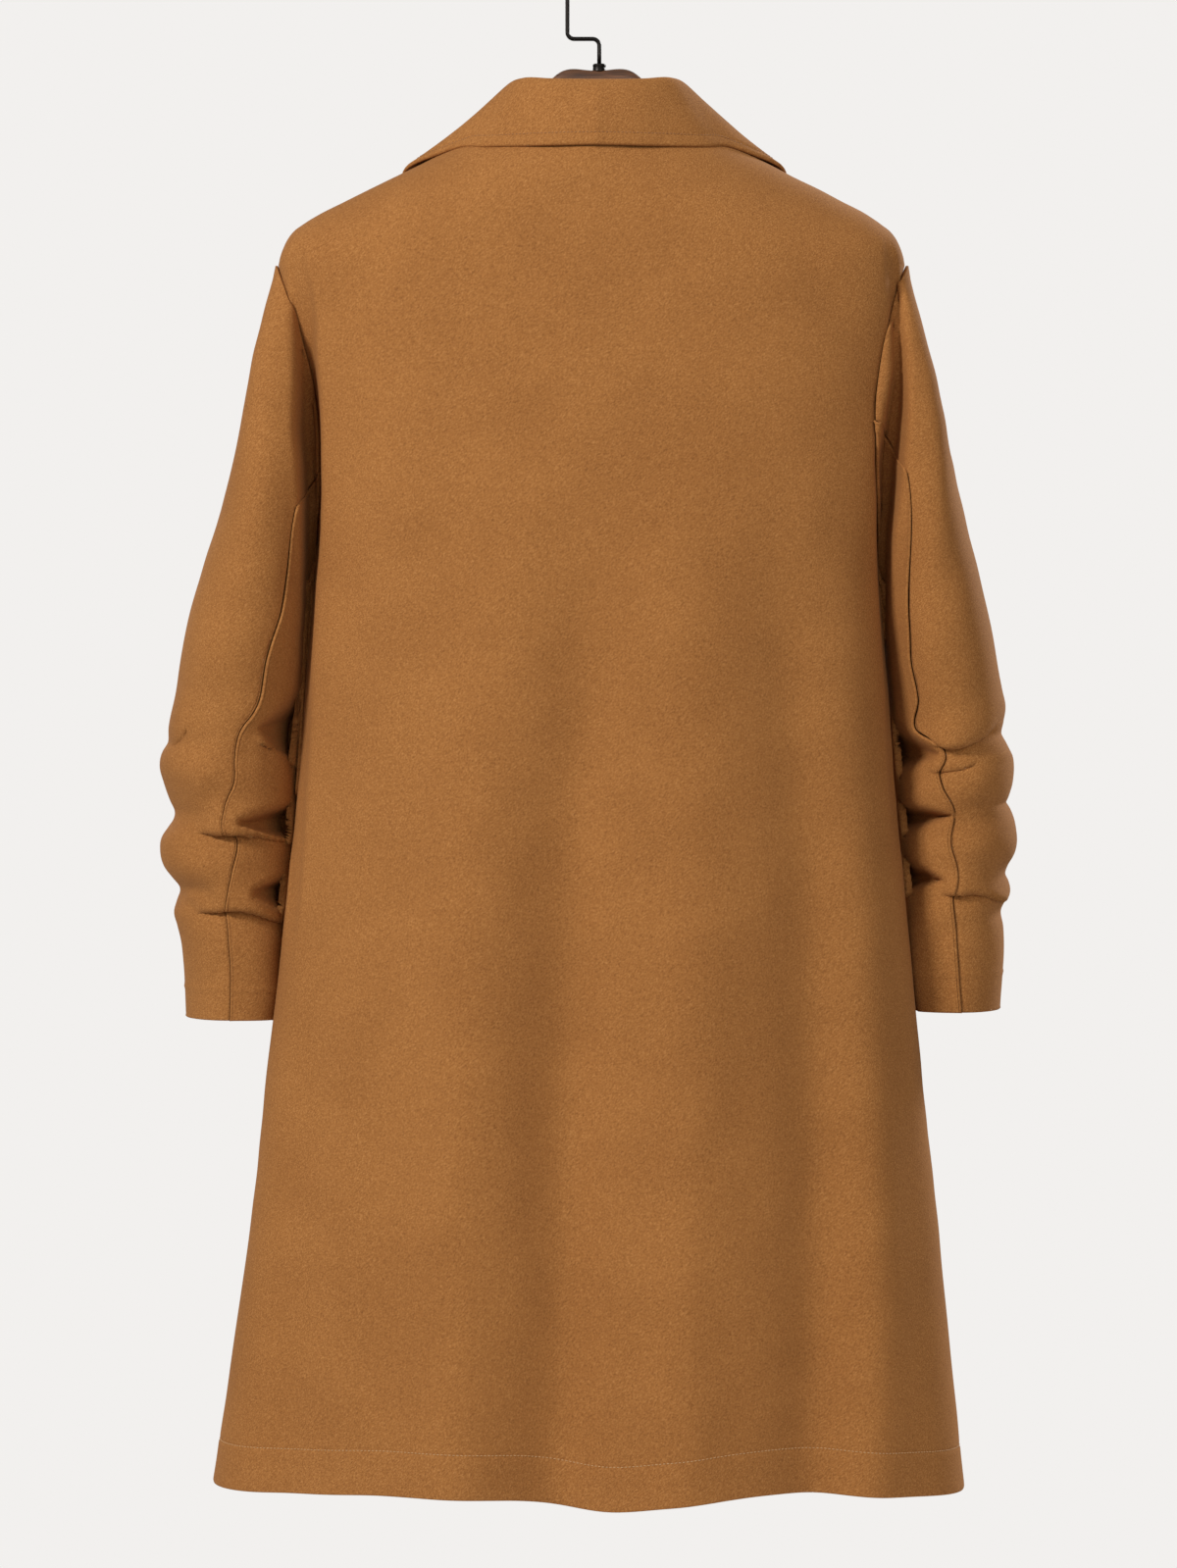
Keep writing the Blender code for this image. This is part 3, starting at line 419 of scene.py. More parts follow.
def wool_wall(name, outer, inwards, node, bulge=0.35):
    """A closed wall of cloth: the outer grid, the same moved inwards by the cloth's thickness, and between
    their edges a ring that stands out by the bulge, so that the edge is round."""
    rows, columns = outer.shape[:2]
    rim, faces = shell_faces(rows, columns)
    inner = outer + inwards * CLOTH
    ahead = np.zeros_like(outer)
    ahead[0], ahead[-1] = unit(outer[0] - outer[1]), unit(outer[-1] - outer[-2])
    ahead[:, 0] += unit(outer[:, 0] - outer[:, 1])
    ahead[:, -1] += unit(outer[:, -1] - outer[:, -2])
    ring = ((outer + inner) / 2 + unit(ahead) * bulge).reshape(-1, 3)[rim]
    points = np.concatenate([outer.reshape(-1, 3), inner.reshape(-1, 3), ring])
    row, column = rows // 2, columns // 2
    across, down = (outer[place] - outer[row, column] for place in ((row, column + 1), (row + 1, column)))
    if np.dot(np.cross(across, down), inwards[row, column]) > 0:
        faces = faces[:, ::-1]
    return new_piece(name, points, faces, WOOL, node)


def pressed_edges(grid, seams, hems=()):
    """Relief beside a panel's edges: a seam draws the cloth in, a hollow runs beside it, an edge is rounded."""
    relief = np.zeros(grid.shape[:2])
    for edge in seams:
        away = from_edge(grid, edge)
        beside = HOLLOW_SINK * bell(away - HOLLOW_FROM_SEAM, HOLLOW_WIDTH)
        relief = np.minimum(relief, -SEAM_SINK * np.exp(-away / SEAM_WIDTH) - beside)
    for edge in hems:
        relief = np.minimum(relief, -EDGE_SINK * np.exp(-from_edge(grid, edge) / EDGE_WIDTH))
    return relief


def groove(grid, edge, distance, depth=0.7, width=1.5):
    """The groove of a row of stitches: a bell across the line that runs at a distance from an edge."""
    return depth * bell(from_edge(grid, edge) - distance, width)


def row_at(outer, out, edge, distance):
    """The line on a cloth's outer grid at a distance from an edge, and the cloth's normals along it."""
    away, both = from_edge(outer, edge), np.concatenate([outer, out], axis=2)
    if edge in ("first", "last"):
        away, both = away.T, np.swapaxes(both, 0, 1)
    if edge in ("bottom", "last"):
        away, both = away[::-1], both[::-1]
    at = np.clip((away < distance).sum(0), 1, len(away) - 1)
    column = np.arange(away.shape[1])
    before, after = away[at - 1, column], away[at, column]
    part = ((distance - before) / np.maximum(after - before, 1e-9))[:, None]
    found = both[at - 1, column] * (1 - part) + both[at, column] * part
    return found[:, :3], unit(found[:, 3:])


def back_panel():
    """The back's middle surface: columns from the neck and shoulder seams down to the hem."""
    shoulder = shoulder_columns(BACK_SHOULDER_COLUMNS)
    neck = NECK_HALF * np.sin(np.linspace(0, np.pi / 2, BACK_NECK_COLUMNS))[:-1]
    half = np.concatenate([neck, shoulder])
    top_x = np.concatenate([-half[:0:-1], half])
    top_z = np.where(np.abs(top_x) < NECK_HALF, back_neck_z(top_x), along(RIDGE, "z", "x", np.abs(top_x)))
    x, z = hung_rows(top_x, top_z, lambda z: top_x / SHOULDER_HALF * armhole_edge(z)[0])
    return joined(x, form_y(x, z, 1, BACK_FOLDS), z)


back_base = back_panel()
back_fold = joined(0, arm_fold(back_base), 0)
back_out = grid_normals(back_base)
back_x, back_z = back_base[..., 0], back_base[..., 2]
back_base[..., 0] += shift(back_z)
back_relief = (pressed_edges(back_base, ("top", "first", "last"), ("bottom",)) + unevenness(back_x, back_z)
               + dents(back_x, back_z, BACK_DENTS) - groove(back_base, "bottom", HEM_STITCHES)
               + HEM_DOUBLE * ease(1 - (from_edge(back_base, "bottom") - HEM_STITCHES) / 3))
back_outer = back_base + back_out * back_relief[..., None] - back_fold
back_out = grid_normals(back_outer)
back_piece = wool_wall("back_panel", back_outer, -back_out, "back")
stitch_rows = {"back_hem_stitches": row_at(back_outer, back_out, "bottom", HEM_STITCHES)}


# ======== The two fronts ========
# Left and right panels of the same cloth, sewn to the back at the shoulders and the sides. The left one
# lies over the right one by 40 mm, and both turn back along the roll line above the top button.

OVERLAP = 20.0
OVERLAP_LIFT = 3.2
OVERLAP_OUT, OVERLAP_RISE = 66.0, 30.0  # where the left front starts to lift, and over what distance it does
GORGE_X, GORGE_Z = 58.0, -190.0
BREAK_Z = -505.0
GORGE_COLUMNS, FRONT_COLUMNS = 20, 104
EDGE_STITCHES, EDGE_STITCHES_START = 9.3, 4.0  # from the edge, and below the roll line's end

FRONT_FOLDS = table("x_top x_mid x_hem width h_top h_mid h_hem", [
    (120, 128, 134, 34, -3, -6, -9), (172, 184, 196, 30, 2, 5, 9), (-112, -122, -134, 34, -2, -6, -10),
    (-170, -186, -200, 30, 2, 5, 8), (66, 72, 78, 30, 1, 4, 7), (-60, -66, -72, 32, 1, 4, 6),
])
FRONT_DENTS = table("x1 z1 x2 z2 depth width", [
    (196, -330, 150, -500, 1.8, 20), (-198, -330, -158, -510, 1.7, 20), (168, -250, 206, -330, 1.4, 16),
    (-166, -246, -204, -330, 1.4, 16), (28, -524, 120, -500, 1.0, 12), (-26, -640, -110, -600, 1.0, 14),
    (90, -830, 76, -1070, 1.4, 18), (-96, -850, -88, -1090, 1.4, 18), (232, -860, 246, -1080, 1.5, 16),
    (-226, -840, -240, -1060, 1.5, 16),
])


def front_edge_x(z):
    """The front's inner edge: down the roll line from the gorge, then straight, past the centre."""
    down = np.clip((GORGE_Z - z) / (GORGE_Z - BREAK_Z), 0, 1)
    return GORGE_X + (-OVERLAP - GORGE_X) * down


def front_point(x, z, sign):
    """A point of the front's form; the left front stands off where it lies on the right one."""
    y = form_y(x, z, -1, FRONT_FOLDS)
    if sign > 0:
        y = y - OVERLAP_LIFT * ease((OVERLAP_OUT - x) / OVERLAP_RISE)
    return joined(x, y, z)


def front_neck(turn):
    """The front neck seam, a quarter of an oval up from the gorge: distance from the centre, and height."""
    x = GORGE_X + (NECK_HALF - GORGE_X) * np.sin(turn)
    return x, GORGE_Z + (NECK_SIDE_Z - GORGE_Z) * (1 - np.cos(turn))


def front_panel(sign):
    """A front's middle surface, from its inner edge to the side, and from gorge, neck and shoulder to hem."""
    neck_x, neck_z = front_neck(np.linspace(0, np.pi / 2, GORGE_COLUMNS)[:-1])
    shoulder_x = shoulder_columns(FRONT_COLUMNS)
    top_x = np.concatenate([neck_x, shoulder_x])
    top_z = np.concatenate([neck_z, along(RIDGE, "z", "x", shoulder_x)])
    part = (top_x - GORGE_X) / (SHOULDER_HALF - GORGE_X)

    def place_x(z):
        inner = front_edge_x(z)
        return sign * (inner + (armhole_edge(z)[0] - inner) * part)

    x, z = hung_rows(sign * top_x, top_z, place_x)
    return front_point(x, z, sign)


for word, sign in (("left", 1), ("right", -1)):
    front_base = front_panel(sign)
    front_out = faced(grid_normals(front_base), -1)
    front_x, front_z = front_base[..., 0], front_base[..., 2]
    front_relief = (pressed_edges(front_base, ("top", "last"), ("bottom", "first"))
                    + unevenness(front_x + 90, front_z + 40) + dents(front_x, front_z, FRONT_DENTS)
                    - groove(front_base, "bottom", HEM_STITCHES))
    front_fold = joined(0, arm_fold(front_base), 0)
    front_base[..., 0] += shift(front_z)
    front_outer = front_base + front_out * front_relief[..., None] - front_fold
    front_piece = wool_wall(f"front_{word}_panel", front_outer, -front_out, f"front_{word}")
    stitch_rows[f"front_{word}_hem_stitches"] = row_at(front_outer, front_out, "bottom", HEM_STITCHES)
    edge_line, edge_out = row_at(front_outer, front_out, "first", EDGE_STITCHES)
    below_lapel = edge_line[:, 2] < BREAK_Z - EDGE_STITCHES_START
    stitch_rows[f"front_{word}_edge_stitches"] = edge_line[below_lapel], edge_out[below_lapel]


# ======== The sleeves ========
# Each is cut in two from the same cloth, a wide top sleeve and a narrower under sleeve, sewn together down
# the hind arm and along the inside, and sewn into the armhole. They are too long for how they hang, so the
# cloth sinks into creases above the cuff.

SLEEVE_TOP = -485.0
CUFF_Z = {1: -805.0, -1: -799.0}
SLEEVE_TILT = 35.0
CLEAR = 2.6
# Where the hind-arm and the inner seam meet the armhole: degrees from the shoulder's end, over the back.
HIND_TURN = {1: 108.0, -1: 90.0}
INNER_TURN = 252.0
CUFF_STITCHES = {1: 24.0, -1: 29.0}
CAP_ROWS, TUBE_STEP = 48, 1.9
CAP_CLOSE = [0.004, 0.01, 0.016]  # shares of the way from the armhole, for rows close to its seam
CUFF_CLOSE = np.array([3.0, 1.6, 0.7, 0])  # heights above the cuff's edge, for rows close to it
HIND_LIMIT = 0.9  # the hind-arm seam's reach towards the outline, as a share of the half width
HIND_STEP, HIND_STEP_WIDTH, HIND_GROOVE = {"top": 1.0, "under": -1.1}, 6.0, 0.6

# The hanging sleeve by height: its inner side's distance from the centre, then its middle and half depth.
SLEEVE = table("z inner middle half_depth", [
    (-440, 216, -6, 62), (-485, 218, -12, 68), (-530, 221, -20, 72), (-568, 223, -28, 71),
    (-613, 225, -34, 68), (-660, 226, -38, 65), (-710, 228, -42, 62), (-760, 230, -44, 59),
    (-810, 231, -46, 57),
])

# The outer edge's distance from the centre: out over each roll and in at each crease.
OUTLINE = {
    1: table("z x", [
        (-440, 287), (-485, 300), (-539, 313.5), (-562, 317.6), (-584, 322), (-598, 322.8), (-605, 326.8),
        (-614, 328.6), (-625, 326.6), (-639, 322.2), (-648, 319), (-655, 320), (-662, 324), (-670, 329),
        (-677, 329.8), (-688, 327.2), (-697, 320.5), (-704, 315.5), (-709, 314.5), (-718, 317),
        (-725, 319.4), (-734, 317.8), (-747, 315), (-763, 313.2), (-806, 311.4),
    ]),
    -1: table("z x", [
        (-440, 278), (-485, 290), (-539, 302), (-557, 306), (-569, 308.6), (-580, 307.2), (-590, 304.2),
        (-600, 309.8), (-607, 314.6), (-614, 315.8), (-625, 314.2), (-634, 310.6), (-642, 308.4),
        (-648, 312.2), (-657, 316.6), (-666, 318), (-679, 315.8), (-689, 311.6), (-697, 310.2),
        (-702, 312.4), (-711, 313.8), (-718, 309.8), (-722, 308), (-736, 309), (-763, 308.6), (-801, 306.6),
    ]),
}
ROLL_SHARE = 0.32  # how much of the outline's waves the sleeve's depth takes part in

# The hind-arm seam's distance from the centre by height: it is drawn aside wherever a crease crosses it.
HIND_SEAM = {
    1: table("z x", [
        (-810, 275), (-763, 274), (-736, 276), (-716, 277.5), (-693, 273), (-662, 272), (-655, 278),
        (-642, 277), (-627, 271), (-606, 269.5), (-586, 265.5), (-570, 257), (-516, 244), (-480, 235),
    ]),
    -1: table("z x", [
        (-802, 274.5), (-768, 272), (-739, 270), (-704, 268.5), (-696, 270.5), (-670, 266), (-644, 267),
        (-629, 260), (-613, 257.5), (-605, 261), (-596, 257.5), (-585, 245), (-549, 240.5), (-516, 234.6),
        (-480, 232),
    ]),
}

# Sharp creases: a line bent through a third place; the cloth above it hangs over by the depth.
OVERHANGS = {
    1: table("x1 z1 x2 z2 x3 z3 depth width", [
        (296, -660, 275, -656, 228, -670, 8, 12), (298, -720, 272, -713, 230, -731, 8, 11),
        (318, -598, 310, -590, 302, -578, 1.6, 7), (252, -592, 238, -600, 222, -614, 5, 9),
    ]),
    -1: table("x1 z1 x2 z2 x3 z3 depth width", [
        (-252, -592, -276, -590, -300, -576, 7, 11), (-250, -614, -266, -612, -284, -608, 3, 8),
        (-262, -706, -288, -701, -312, -713, 8, 10), (-246, -700, -236, -706, -226, -714, 5, 9),
    ]),
}

# Hollows at the inner side: the place of the tip, then the middle, height and depth beside the body.
HOLLOWS = {
    1: table("tip_x tip_z side_z height depth", [
        (254, -584, -589, 27, 74), (270, -650, -655, 11, 66), (260, -705, -711, 14, 66),
    ]),
    -1: table("tip_x tip_z side_z height depth", [
        (-258, -604, -602, 19, 60), (-268, -650, -655, 12, 52), (-262, -699, -695, 15, 56),
    ]),
}

POCKET_FLOOR = 34.0  # how far in front of the body's middle a hollow may reach
HOLLOW_INNER = 222.0  # distance from the centre at which a hollow is deepest
LIE_BACK = 5.0  # how soon the cloth lies back below a sharp crease
CREASE_TOP, CREASE_ONSET = -505.0, 40.0  # where the hanging sleeve's creases begin, and over what height
BACK_LINE, BACK_ONSET = 14.0, 34.0  # how far before the sleeve's middle its back begins, and over what depth

# Rounder troughs across the arm, on the side that the back shows and on the hidden side.
SLEEVE_DENTS = {
    "back": {
        1: table("x1 z1 x2 z2 depth width", [
            (325, -612, 262, -622, 3, 13), (326, -690, 268, -692, 3, 12), (300, -640, 282, -600, 1.6, 8),
            (268, -576, 240, -560, 2.4, 12), (306, -560, 314, -592, 2.2, 8), (306, -712, 290, -714, 2.4, 6),
            (292, -676, 290, -700, 1.0, 5), (255, -745, 246, -800, 4, 14), (276, -745, 300, -768, 1.2, 9),
            (238, -330, 262, -480, 1.6, 16), (286, -440, 300, -540, 1.6, 14),
            (232, -420, 240, -520, 2.0, 13),
        ]),
        -1: table("x1 z1 x2 z2 depth width", [
            (-262, -634, -318, -632, 3.2, 13), (-264, -672, -318, -676, 3.2, 12),
            (-300, -584, -306, -606, 2.6, 8), (-236, -640, -256, -628, 2.4, 9),
            (-240, -678, -262, -676, 2.2, 9), (-240, -738, -268, -716, 2.2, 11),
            (-238, -790, -240, -740, 3.5, 12), (-286, -716, -304, -760, 1.2, 10),
            (-226, -330, -240, -470, 1.6, 14), (-262, -420, -286, -540, 1.6, 16),
            (-246, -500, -252, -570, 1.6, 9),
        ]),
    },
    "front": {
        1: table("x1 z1 x2 z2 depth width", [
            (322, -606, 250, -590, 4, 12), (325, -668, 246, -650, 4.5, 12), (322, -718, 244, -706, 4, 11),
            (300, -690, 262, -684, 2, 9), (232, -620, 252, -612, 3, 10), (250, -560, 290, -572, 2, 12),
            (282, -440, 300, -540, 1.6, 16), (240, -330, 262, -460, 1.6, 16),
            (262, -750, 300, -760, 1.6, 12),
        ]),
        -1: table("x1 z1 x2 z2 depth width", [
            (-318, -596, -246, -602, 4, 12), (-320, -652, -240, -640, 4.5, 12),
            (-318, -706, -250, -696, 4, 11), (-290, -676, -256, -668, 2, 9),
            (-234, -610, -256, -620, 3, 10), (-250, -556, -288, -566, 2, 12),
            (-270, -440, -290, -530, 1.6, 16), (-236, -340, -258, -470, 1.6, 16),
            (-258, -744, -296, -756, 1.6, 12),
        ]),
    },
}


def body_side_x(y, z):
    """How far the body reaches sideways at a depth and a height."""
    half = along(BODY, "half", "z", z)
    reach = np.where(y > SIDE_Y, along(BODY, "back", "z", z), -along(BODY, "front", "z", z))
    across = np.clip(np.abs(y - SIDE_Y) / reach, 0, 1)
    return half * (1 - across**ROUNDNESS) ** (1 / ROUNDNESS)


def sleeve_middle(z, sign):
    """The middle and the half width of the hanging sleeve at a height."""
    outer, inner = along(OUTLINE[sign], "x", "z", z), along(SLEEVE, "inner", "z", z)
    return (outer + inner) / 2, (outer - inner) / 2


def waves(z, sign):
    """How far the outline stands out from its own average over 60 mm."""
    nearby = [along(OUTLINE[sign], "x", "z", z + step) for step in np.linspace(-30, 30, 9)]
    return along(OUTLINE[sign], "x", "z", z) - np.mean(nearby, axis=0)


def tube_point(turn, z, sign):
    """The hanging sleeve: an oval, flat where it meets the body's side, with waves on its outer half."""
    middle, half = sleeve_middle(z, sign)
    swell = ROLL_SHARE * waves(z + 14 * np.sin(turn), sign) * ease(0.6 + np.cos(turn))
    x = middle + half * np.cos(turn)
    y = along(SLEEVE, "middle", "z", z) + (along(SLEEVE, "half_depth", "z", z) + swell) * np.sin(turn)
    return joined(sign * np.maximum(x, body_side_x(y, z) + CLEAR), y, z)


def armhole_point(turn, sign):
    """The armhole's seam, from the shoulder's end over the back to the armpit and up the front."""
    z = ARMPIT_Z + (SHOULDER_Z - ARMPIT_Z) * (1 + np.cos(turn)) / 2
    x = sign * along(ARMHOLE, "x", "z", z)
    return joined(x, body_y(x, z, np.sin(turn) >= 0), z)


def sleeve_surface(sign, across, top_piece):
    """A sleeve piece's surface: across from the inner seam round the outside to the hind-arm seam, or from
    there round the inside; down a cap that leaves the armhole outwards, then the hanging tube."""
    tube_z = np.concatenate([np.arange(SLEEVE_TOP, CUFF_Z[sign], -TUBE_STEP), CUFF_Z[sign] + CUFF_CLOSE])
    tube_z = np.sort(tube_z)[::-1][:, None]
    middle, half = sleeve_middle(tube_z, sign)
    seam = (along(HIND_SEAM[sign], "x", "z", tube_z) - middle) / half
    hind = np.arccos(np.clip(seam, -HIND_LIMIT, HIND_LIMIT))
    hind_hole, inner = np.radians(HIND_TURN[sign]), np.radians(INNER_TURN)
    if top_piece:
        turn = inner - 2 * np.pi + (hind - inner + 2 * np.pi) * across
        hole_turn = inner - 2 * np.pi + (hind_hole - inner + 2 * np.pi) * across
    else:
        turn = hind + (inner - hind) * across
        hole_turn = hind_hole + (inner - hind_hole) * across
    down = (SLEEVE_TOP - tube_z) / (SLEEVE_TOP - CUFF_Z[sign])
    tube = tube_point(turn, tube_z + SLEEVE_TILT * (1 - ease(down * 2)) * np.cos(turn), sign)
    hole = armhole_point(hole_turn, sign)
    facing = np.sin(hole_turn)
    # The cap leaves outwards at the armhole's back and front, and nearly straight down at its top and bottom.
    leave = unit(joined(sign * (0.12 + 0.58 * np.abs(facing)), 0.35 * facing, -1 + 0.45 * np.abs(facing)))
    span = np.linalg.norm(tube[0] - hole, axis=-1, keepdims=True)
    leave, arrive = leave * span, unit(tube[3] - tube[0]) * span
    t = np.sort(np.concatenate([CAP_CLOSE, np.linspace(0, 1, CAP_ROWS)[:-1]]))[:, None, None]
    cap = hole * (1 - ease(t)) + tube[0] * ease(t) + leave * t * (1 - t) ** 2 - arrive * t * t * (1 - t)
    return np.concatenate([cap, tube])


def overhang(x, z, rows):
    """Sharp creases: near a line bent through three places the cloth above swells out and sinks over the
    line, and below it the cloth lies back at once and comes out again slowly. Gives the swell and how far
    the cloth sinks."""
    relief, sink = np.zeros_like(x), np.zeros_like(x)
    for x1, z1, x2, z2, x3, z3, depth, width in zip(*rows.values()):
        t = (x - x1) / (x3 - x1)
        middle = (x2 - x1) / (x3 - x1)
        bend = (z2 - z1 - (z3 - z1) * middle) / (middle * (1 - middle))
        below = z1 + (z3 - z1) * t + bend * t * (1 - t) - z
        fade = ease(t / 0.35 + 0.3) * ease((1 - t) / 0.35 + 0.3)
        above_line, below_line = 0.5 * bell(below, 1.2 * width), -np.exp(-np.maximum(below, 0) / width)
        lies_back = ease(below / LIE_BACK)
        relief += depth * fade * (above_line + (below_line - above_line) * lies_back)
        sink += 0.9 * depth * fade * bell(below, width) * (1 - lies_back)
    return relief, sink


def hollow(x, z, rows):
    """How deep the inner hollows go: from nothing at the tip, wider and deeper towards the body."""
    depth = np.zeros_like(x)
    for tip_x, tip_z, side_z, height, deep in zip(*rows.values()):
        part = np.clip((np.abs(tip_x) - np.abs(x)) / (np.abs(tip_x) - HOLLOW_INNER), 0, 1.1)
        middle = tip_z + (side_z - tip_z) * part
        depth += deep * part**0.7 * np.exp(-np.abs((z - middle) / (1.5 + height * part)) ** 4)
    return depth


def sleeve_relief(grid, sign):
    """All of a sleeve's creases, those of the back where the cloth faces backwards and others on the hidden
    side: the relief along the normals, and how far each point moves forwards and down."""
    x, y, z = grid[..., 0], grid[..., 1], grid[..., 2]
    back = ease((y - along(SLEEVE, "middle", "z", z) + BACK_LINE) / BACK_ONSET)
    tube = ease((CREASE_TOP - z) / CREASE_ONSET)
    swell, sink = overhang(x, z, OVERHANGS[sign])
    relief = back * dents(x, z, SLEEVE_DENTS["back"][sign])
    relief += (1 - back) * dents(x, z, SLEEVE_DENTS["front"][sign])
    pit = arm_fold(grid)
    pocket = np.minimum(back * tube * hollow(x, z, HOLLOWS[sign]), np.maximum(y + POCKET_FLOOR, 0))
    pit = np.where(y > SIDE_Y, np.maximum(pit, pocket), pit) - back * tube * swell
    return relief + 1.4 * unevenness(x * 1.2, z * 1.2), joined(0, pit, back * tube * sink)


for word, sign in (("left", 1), ("right", -1)):
    for part, count, width in (("top", 128, 0.26), ("under", 84, 0.13)):
        across = near_ends(count, 2.2 * count)
        sleeve_base = sleeve_surface(sign, across, part == "top")
        sleeve_out = grid_normals(sleeve_base) * sign
        relief, moved = sleeve_relief(sleeve_base, sign)
        hind_edge = "last" if part == "top" else "first"
        relief += pressed_edges(sleeve_base, ("top", "first", "last"), ("bottom",))
        from_hind = from_edge(sleeve_base, hind_edge)
        relief += HIND_STEP[part] * np.exp(-from_hind / HIND_STEP_WIDTH) - HIND_GROOVE * np.exp(-from_hind)
        relief -= groove(sleeve_base, "bottom", CUFF_STITCHES[sign], 0.6)
        sleeve_outer = sleeve_base + sleeve_out * relief[..., None] - moved
        low = sleeve_outer[..., 2] < ARMPIT_Z - 1
        limit = body_side_x(sleeve_outer[..., 1], sleeve_outer[..., 2]) + CLEAR * 0.6
        kept = sign * np.maximum(np.abs(sleeve_outer[..., 0]), limit)
        moved_x = shift(np.maximum(sleeve_outer[..., 2], ARMPIT_Z))
        sleeve_outer[..., 0] = np.where(low, kept, sleeve_outer[..., 0]) + moved_x
        sleeve_inwards = -grid_normals(sleeve_outer) * sign
        sleeve_piece = wool_wall(f"sleeve_{word}_{part}_cloth", sleeve_outer, sleeve_inwards,
                                 f"sleeve_{word}_{part}")
        stitch_rows[f"sleeve_{word}_{part}_stitches"] = row_at(
            sleeve_outer, -sleeve_inwards, "bottom", CUFF_STITCHES[sign])


# ======== The collar ========
# One strip of the same cloth, doubled and pressed: it stands up from the neck seam, turns over at the crest
# and falls on the back and the fronts. A row of stitches runs near its free edge.

COLLAR_COLUMNS, STAND_ROWS, FALL_ROWS = 150, 16, 40
FALL_HEIGHT = 50.0
CREST_ROLL = 8.0
COLLAR_STITCHES = 9.3

# The crest and the fall's free edge, by share of the way from the centre back to the collar's end.
CREST = table("share x y z", [
    (0, 0, 40, -101.5), (0.2, 34, 36, -100.5), (0.35, 54.5, 24, -98), (0.5, 65, 2, -101),
    (0.65, 70.5, -22, -122), (0.8, 68, -42, -150), (1, 60, -61.5, -184),
])
COLLAR_EDGE = table("share x y z", [
    (0, 0, 59, -152.5), (0.2, 45, 51, -152), (0.33, 83, 34.5, -150), (0.4, 101, 20, -148),
    (0.46, 123, 9, -153.5), (0.52, 142, -3, -159.5), (0.6, 147, -24, -171), (0.8, 141, -47, -191),
    (1, 126, -61, -205),
])


def neck_point(share, sign):
    """A point of the neck seam: over the back to the shoulder, then down the front to the gorge."""
    over_back = share <= 0.5
    back_x = NECK_HALF * np.sin(np.pi / 2 * np.minimum(share * 2, 1))
    front_x, front_z = front_neck(np.pi / 2 * np.clip(2 - share * 2, 0, 1))
    x, z = sign * np.where(over_back, back_x, front_x), np.where(over_back, back_neck_z(back_x), front_z)
    return joined(x, body_y(x, z, over_back), z)


def bezier(a, b, c, d, t):
    """A cubic from a to d, drawn towards b and c between."""
    t = t[:, None, None]
    return a * (1 - t) ** 3 + 3 * b * t * (1 - t) ** 2 + 3 * c * t * t * (1 - t) + d * t**3


def collar_surface():
    """The collar's face: up the stand from the neck seam, over the crest, and down the fall."""
    share = np.linspace(-1, 1, COLLAR_COLUMNS + 1)
    sign, far = np.where(share < 0, -1, 1), np.abs(share)
    mirror = joined(sign, 1, 1)
    crest = np.stack([along(CREST, c, "share", far) for c in "xyz"], -1) * mirror
    edge = np.stack([along(COLLAR_EDGE, c, "share", far) for c in "xyz"], -1) * mirror
    outwards = unit((edge - crest) * [1, 1, 0])
    neck = neck_point(far, sign) - outwards * (CLOTH + SEAM_GAP) + [0, 0, SEAM_GAP + 0.4]
    roll = np.minimum(CREST_ROLL, np.linalg.norm(crest - neck, axis=1, keepdims=True) * 0.45)
    lean = ease(far / 0.4)[:, None]
    up, down = np.linspace(0, 1, STAND_ROWS)[:-1], near_ends(FALL_ROWS, FALL_HEIGHT, first=False)
    stand = bezier(neck, neck + (crest - neck) * [0.1, 0.1, 0.5], crest - outwards * roll, crest, up)
    low = edge + (crest - edge) * np.concatenate([0.6 * lean, 0.6 * lean, 0.5 + 0.02 * lean], axis=1)
    fall = bezier(crest, crest + outwards * roll, low, edge, down)
    x, y, z = fall[..., 0], fall[..., 1], fall[..., 2]
    on_coat = z < along(RIDGE, "z", "x", np.abs(x))
    behind = np.where(on_coat, np.maximum(y, form_y(x, z, 1, BACK_FOLDS) + CLOTH + 1.4), y)
    before = np.where(on_coat, np.minimum(y, form_y(x, z, -1, FRONT_FOLDS) - CLOTH - 1.4
                                          - OVERLAP_LIFT * (far > 0.95)), y)
    fall[..., 1] = np.where(far < 0.5, behind, before)
    return np.concatenate([stand, fall])


collar_base = collar_surface()
collar_out = faced(grid_normals(collar_base), 1)
collar_relief = (pressed_edges(collar_base, ("top",), ("bottom", "first", "last"))
                 + 0.8 * unevenness(collar_base[..., 0] + 30, collar_base[..., 2])
                 - groove(collar_base, "bottom", COLLAR_STITCHES, width=1.3))
collar_base[..., 0] += shift(collar_base[..., 2])
collar_outer = collar_base + collar_out * collar_relief[..., None]
collar_piece = wool_wall("collar_turned_down", collar_outer, -collar_out, "collar", bulge=0.6)
stitch_rows["collar_edge_stitches"] = row_at(collar_outer, collar_out, "bottom", COLLAR_STITCHES)


# ======== The lapels ========
# The tops of the two fronts, faced with the same cloth and turned back along the roll line. Each is sewn to
# the collar's end for half of its width, and the notch is left open beyond.

LAPEL_GAP = 1.3
NOTCH_SHARE = 0.55
GORGE_SLOPE = -0.22
LAPEL_ROWS, LAPEL_COLUMNS, ROLL_COLUMNS = 90, 36, 13
LAPEL_CLOSE = [0.985, 0.993]  # shares of its width, for columns close to the free edge
LAPEL_END = 6.0  # above the roll line's end

# The lapel's free edge, by share of the way down from the notch to the roll line's end.
LAPEL_EDGE = table("share x z", [
    (0, 130, -226), (0.15, 112, -270), (0.5, 62, -352), (0.8, 13, -440), (1, -17, -496),
])


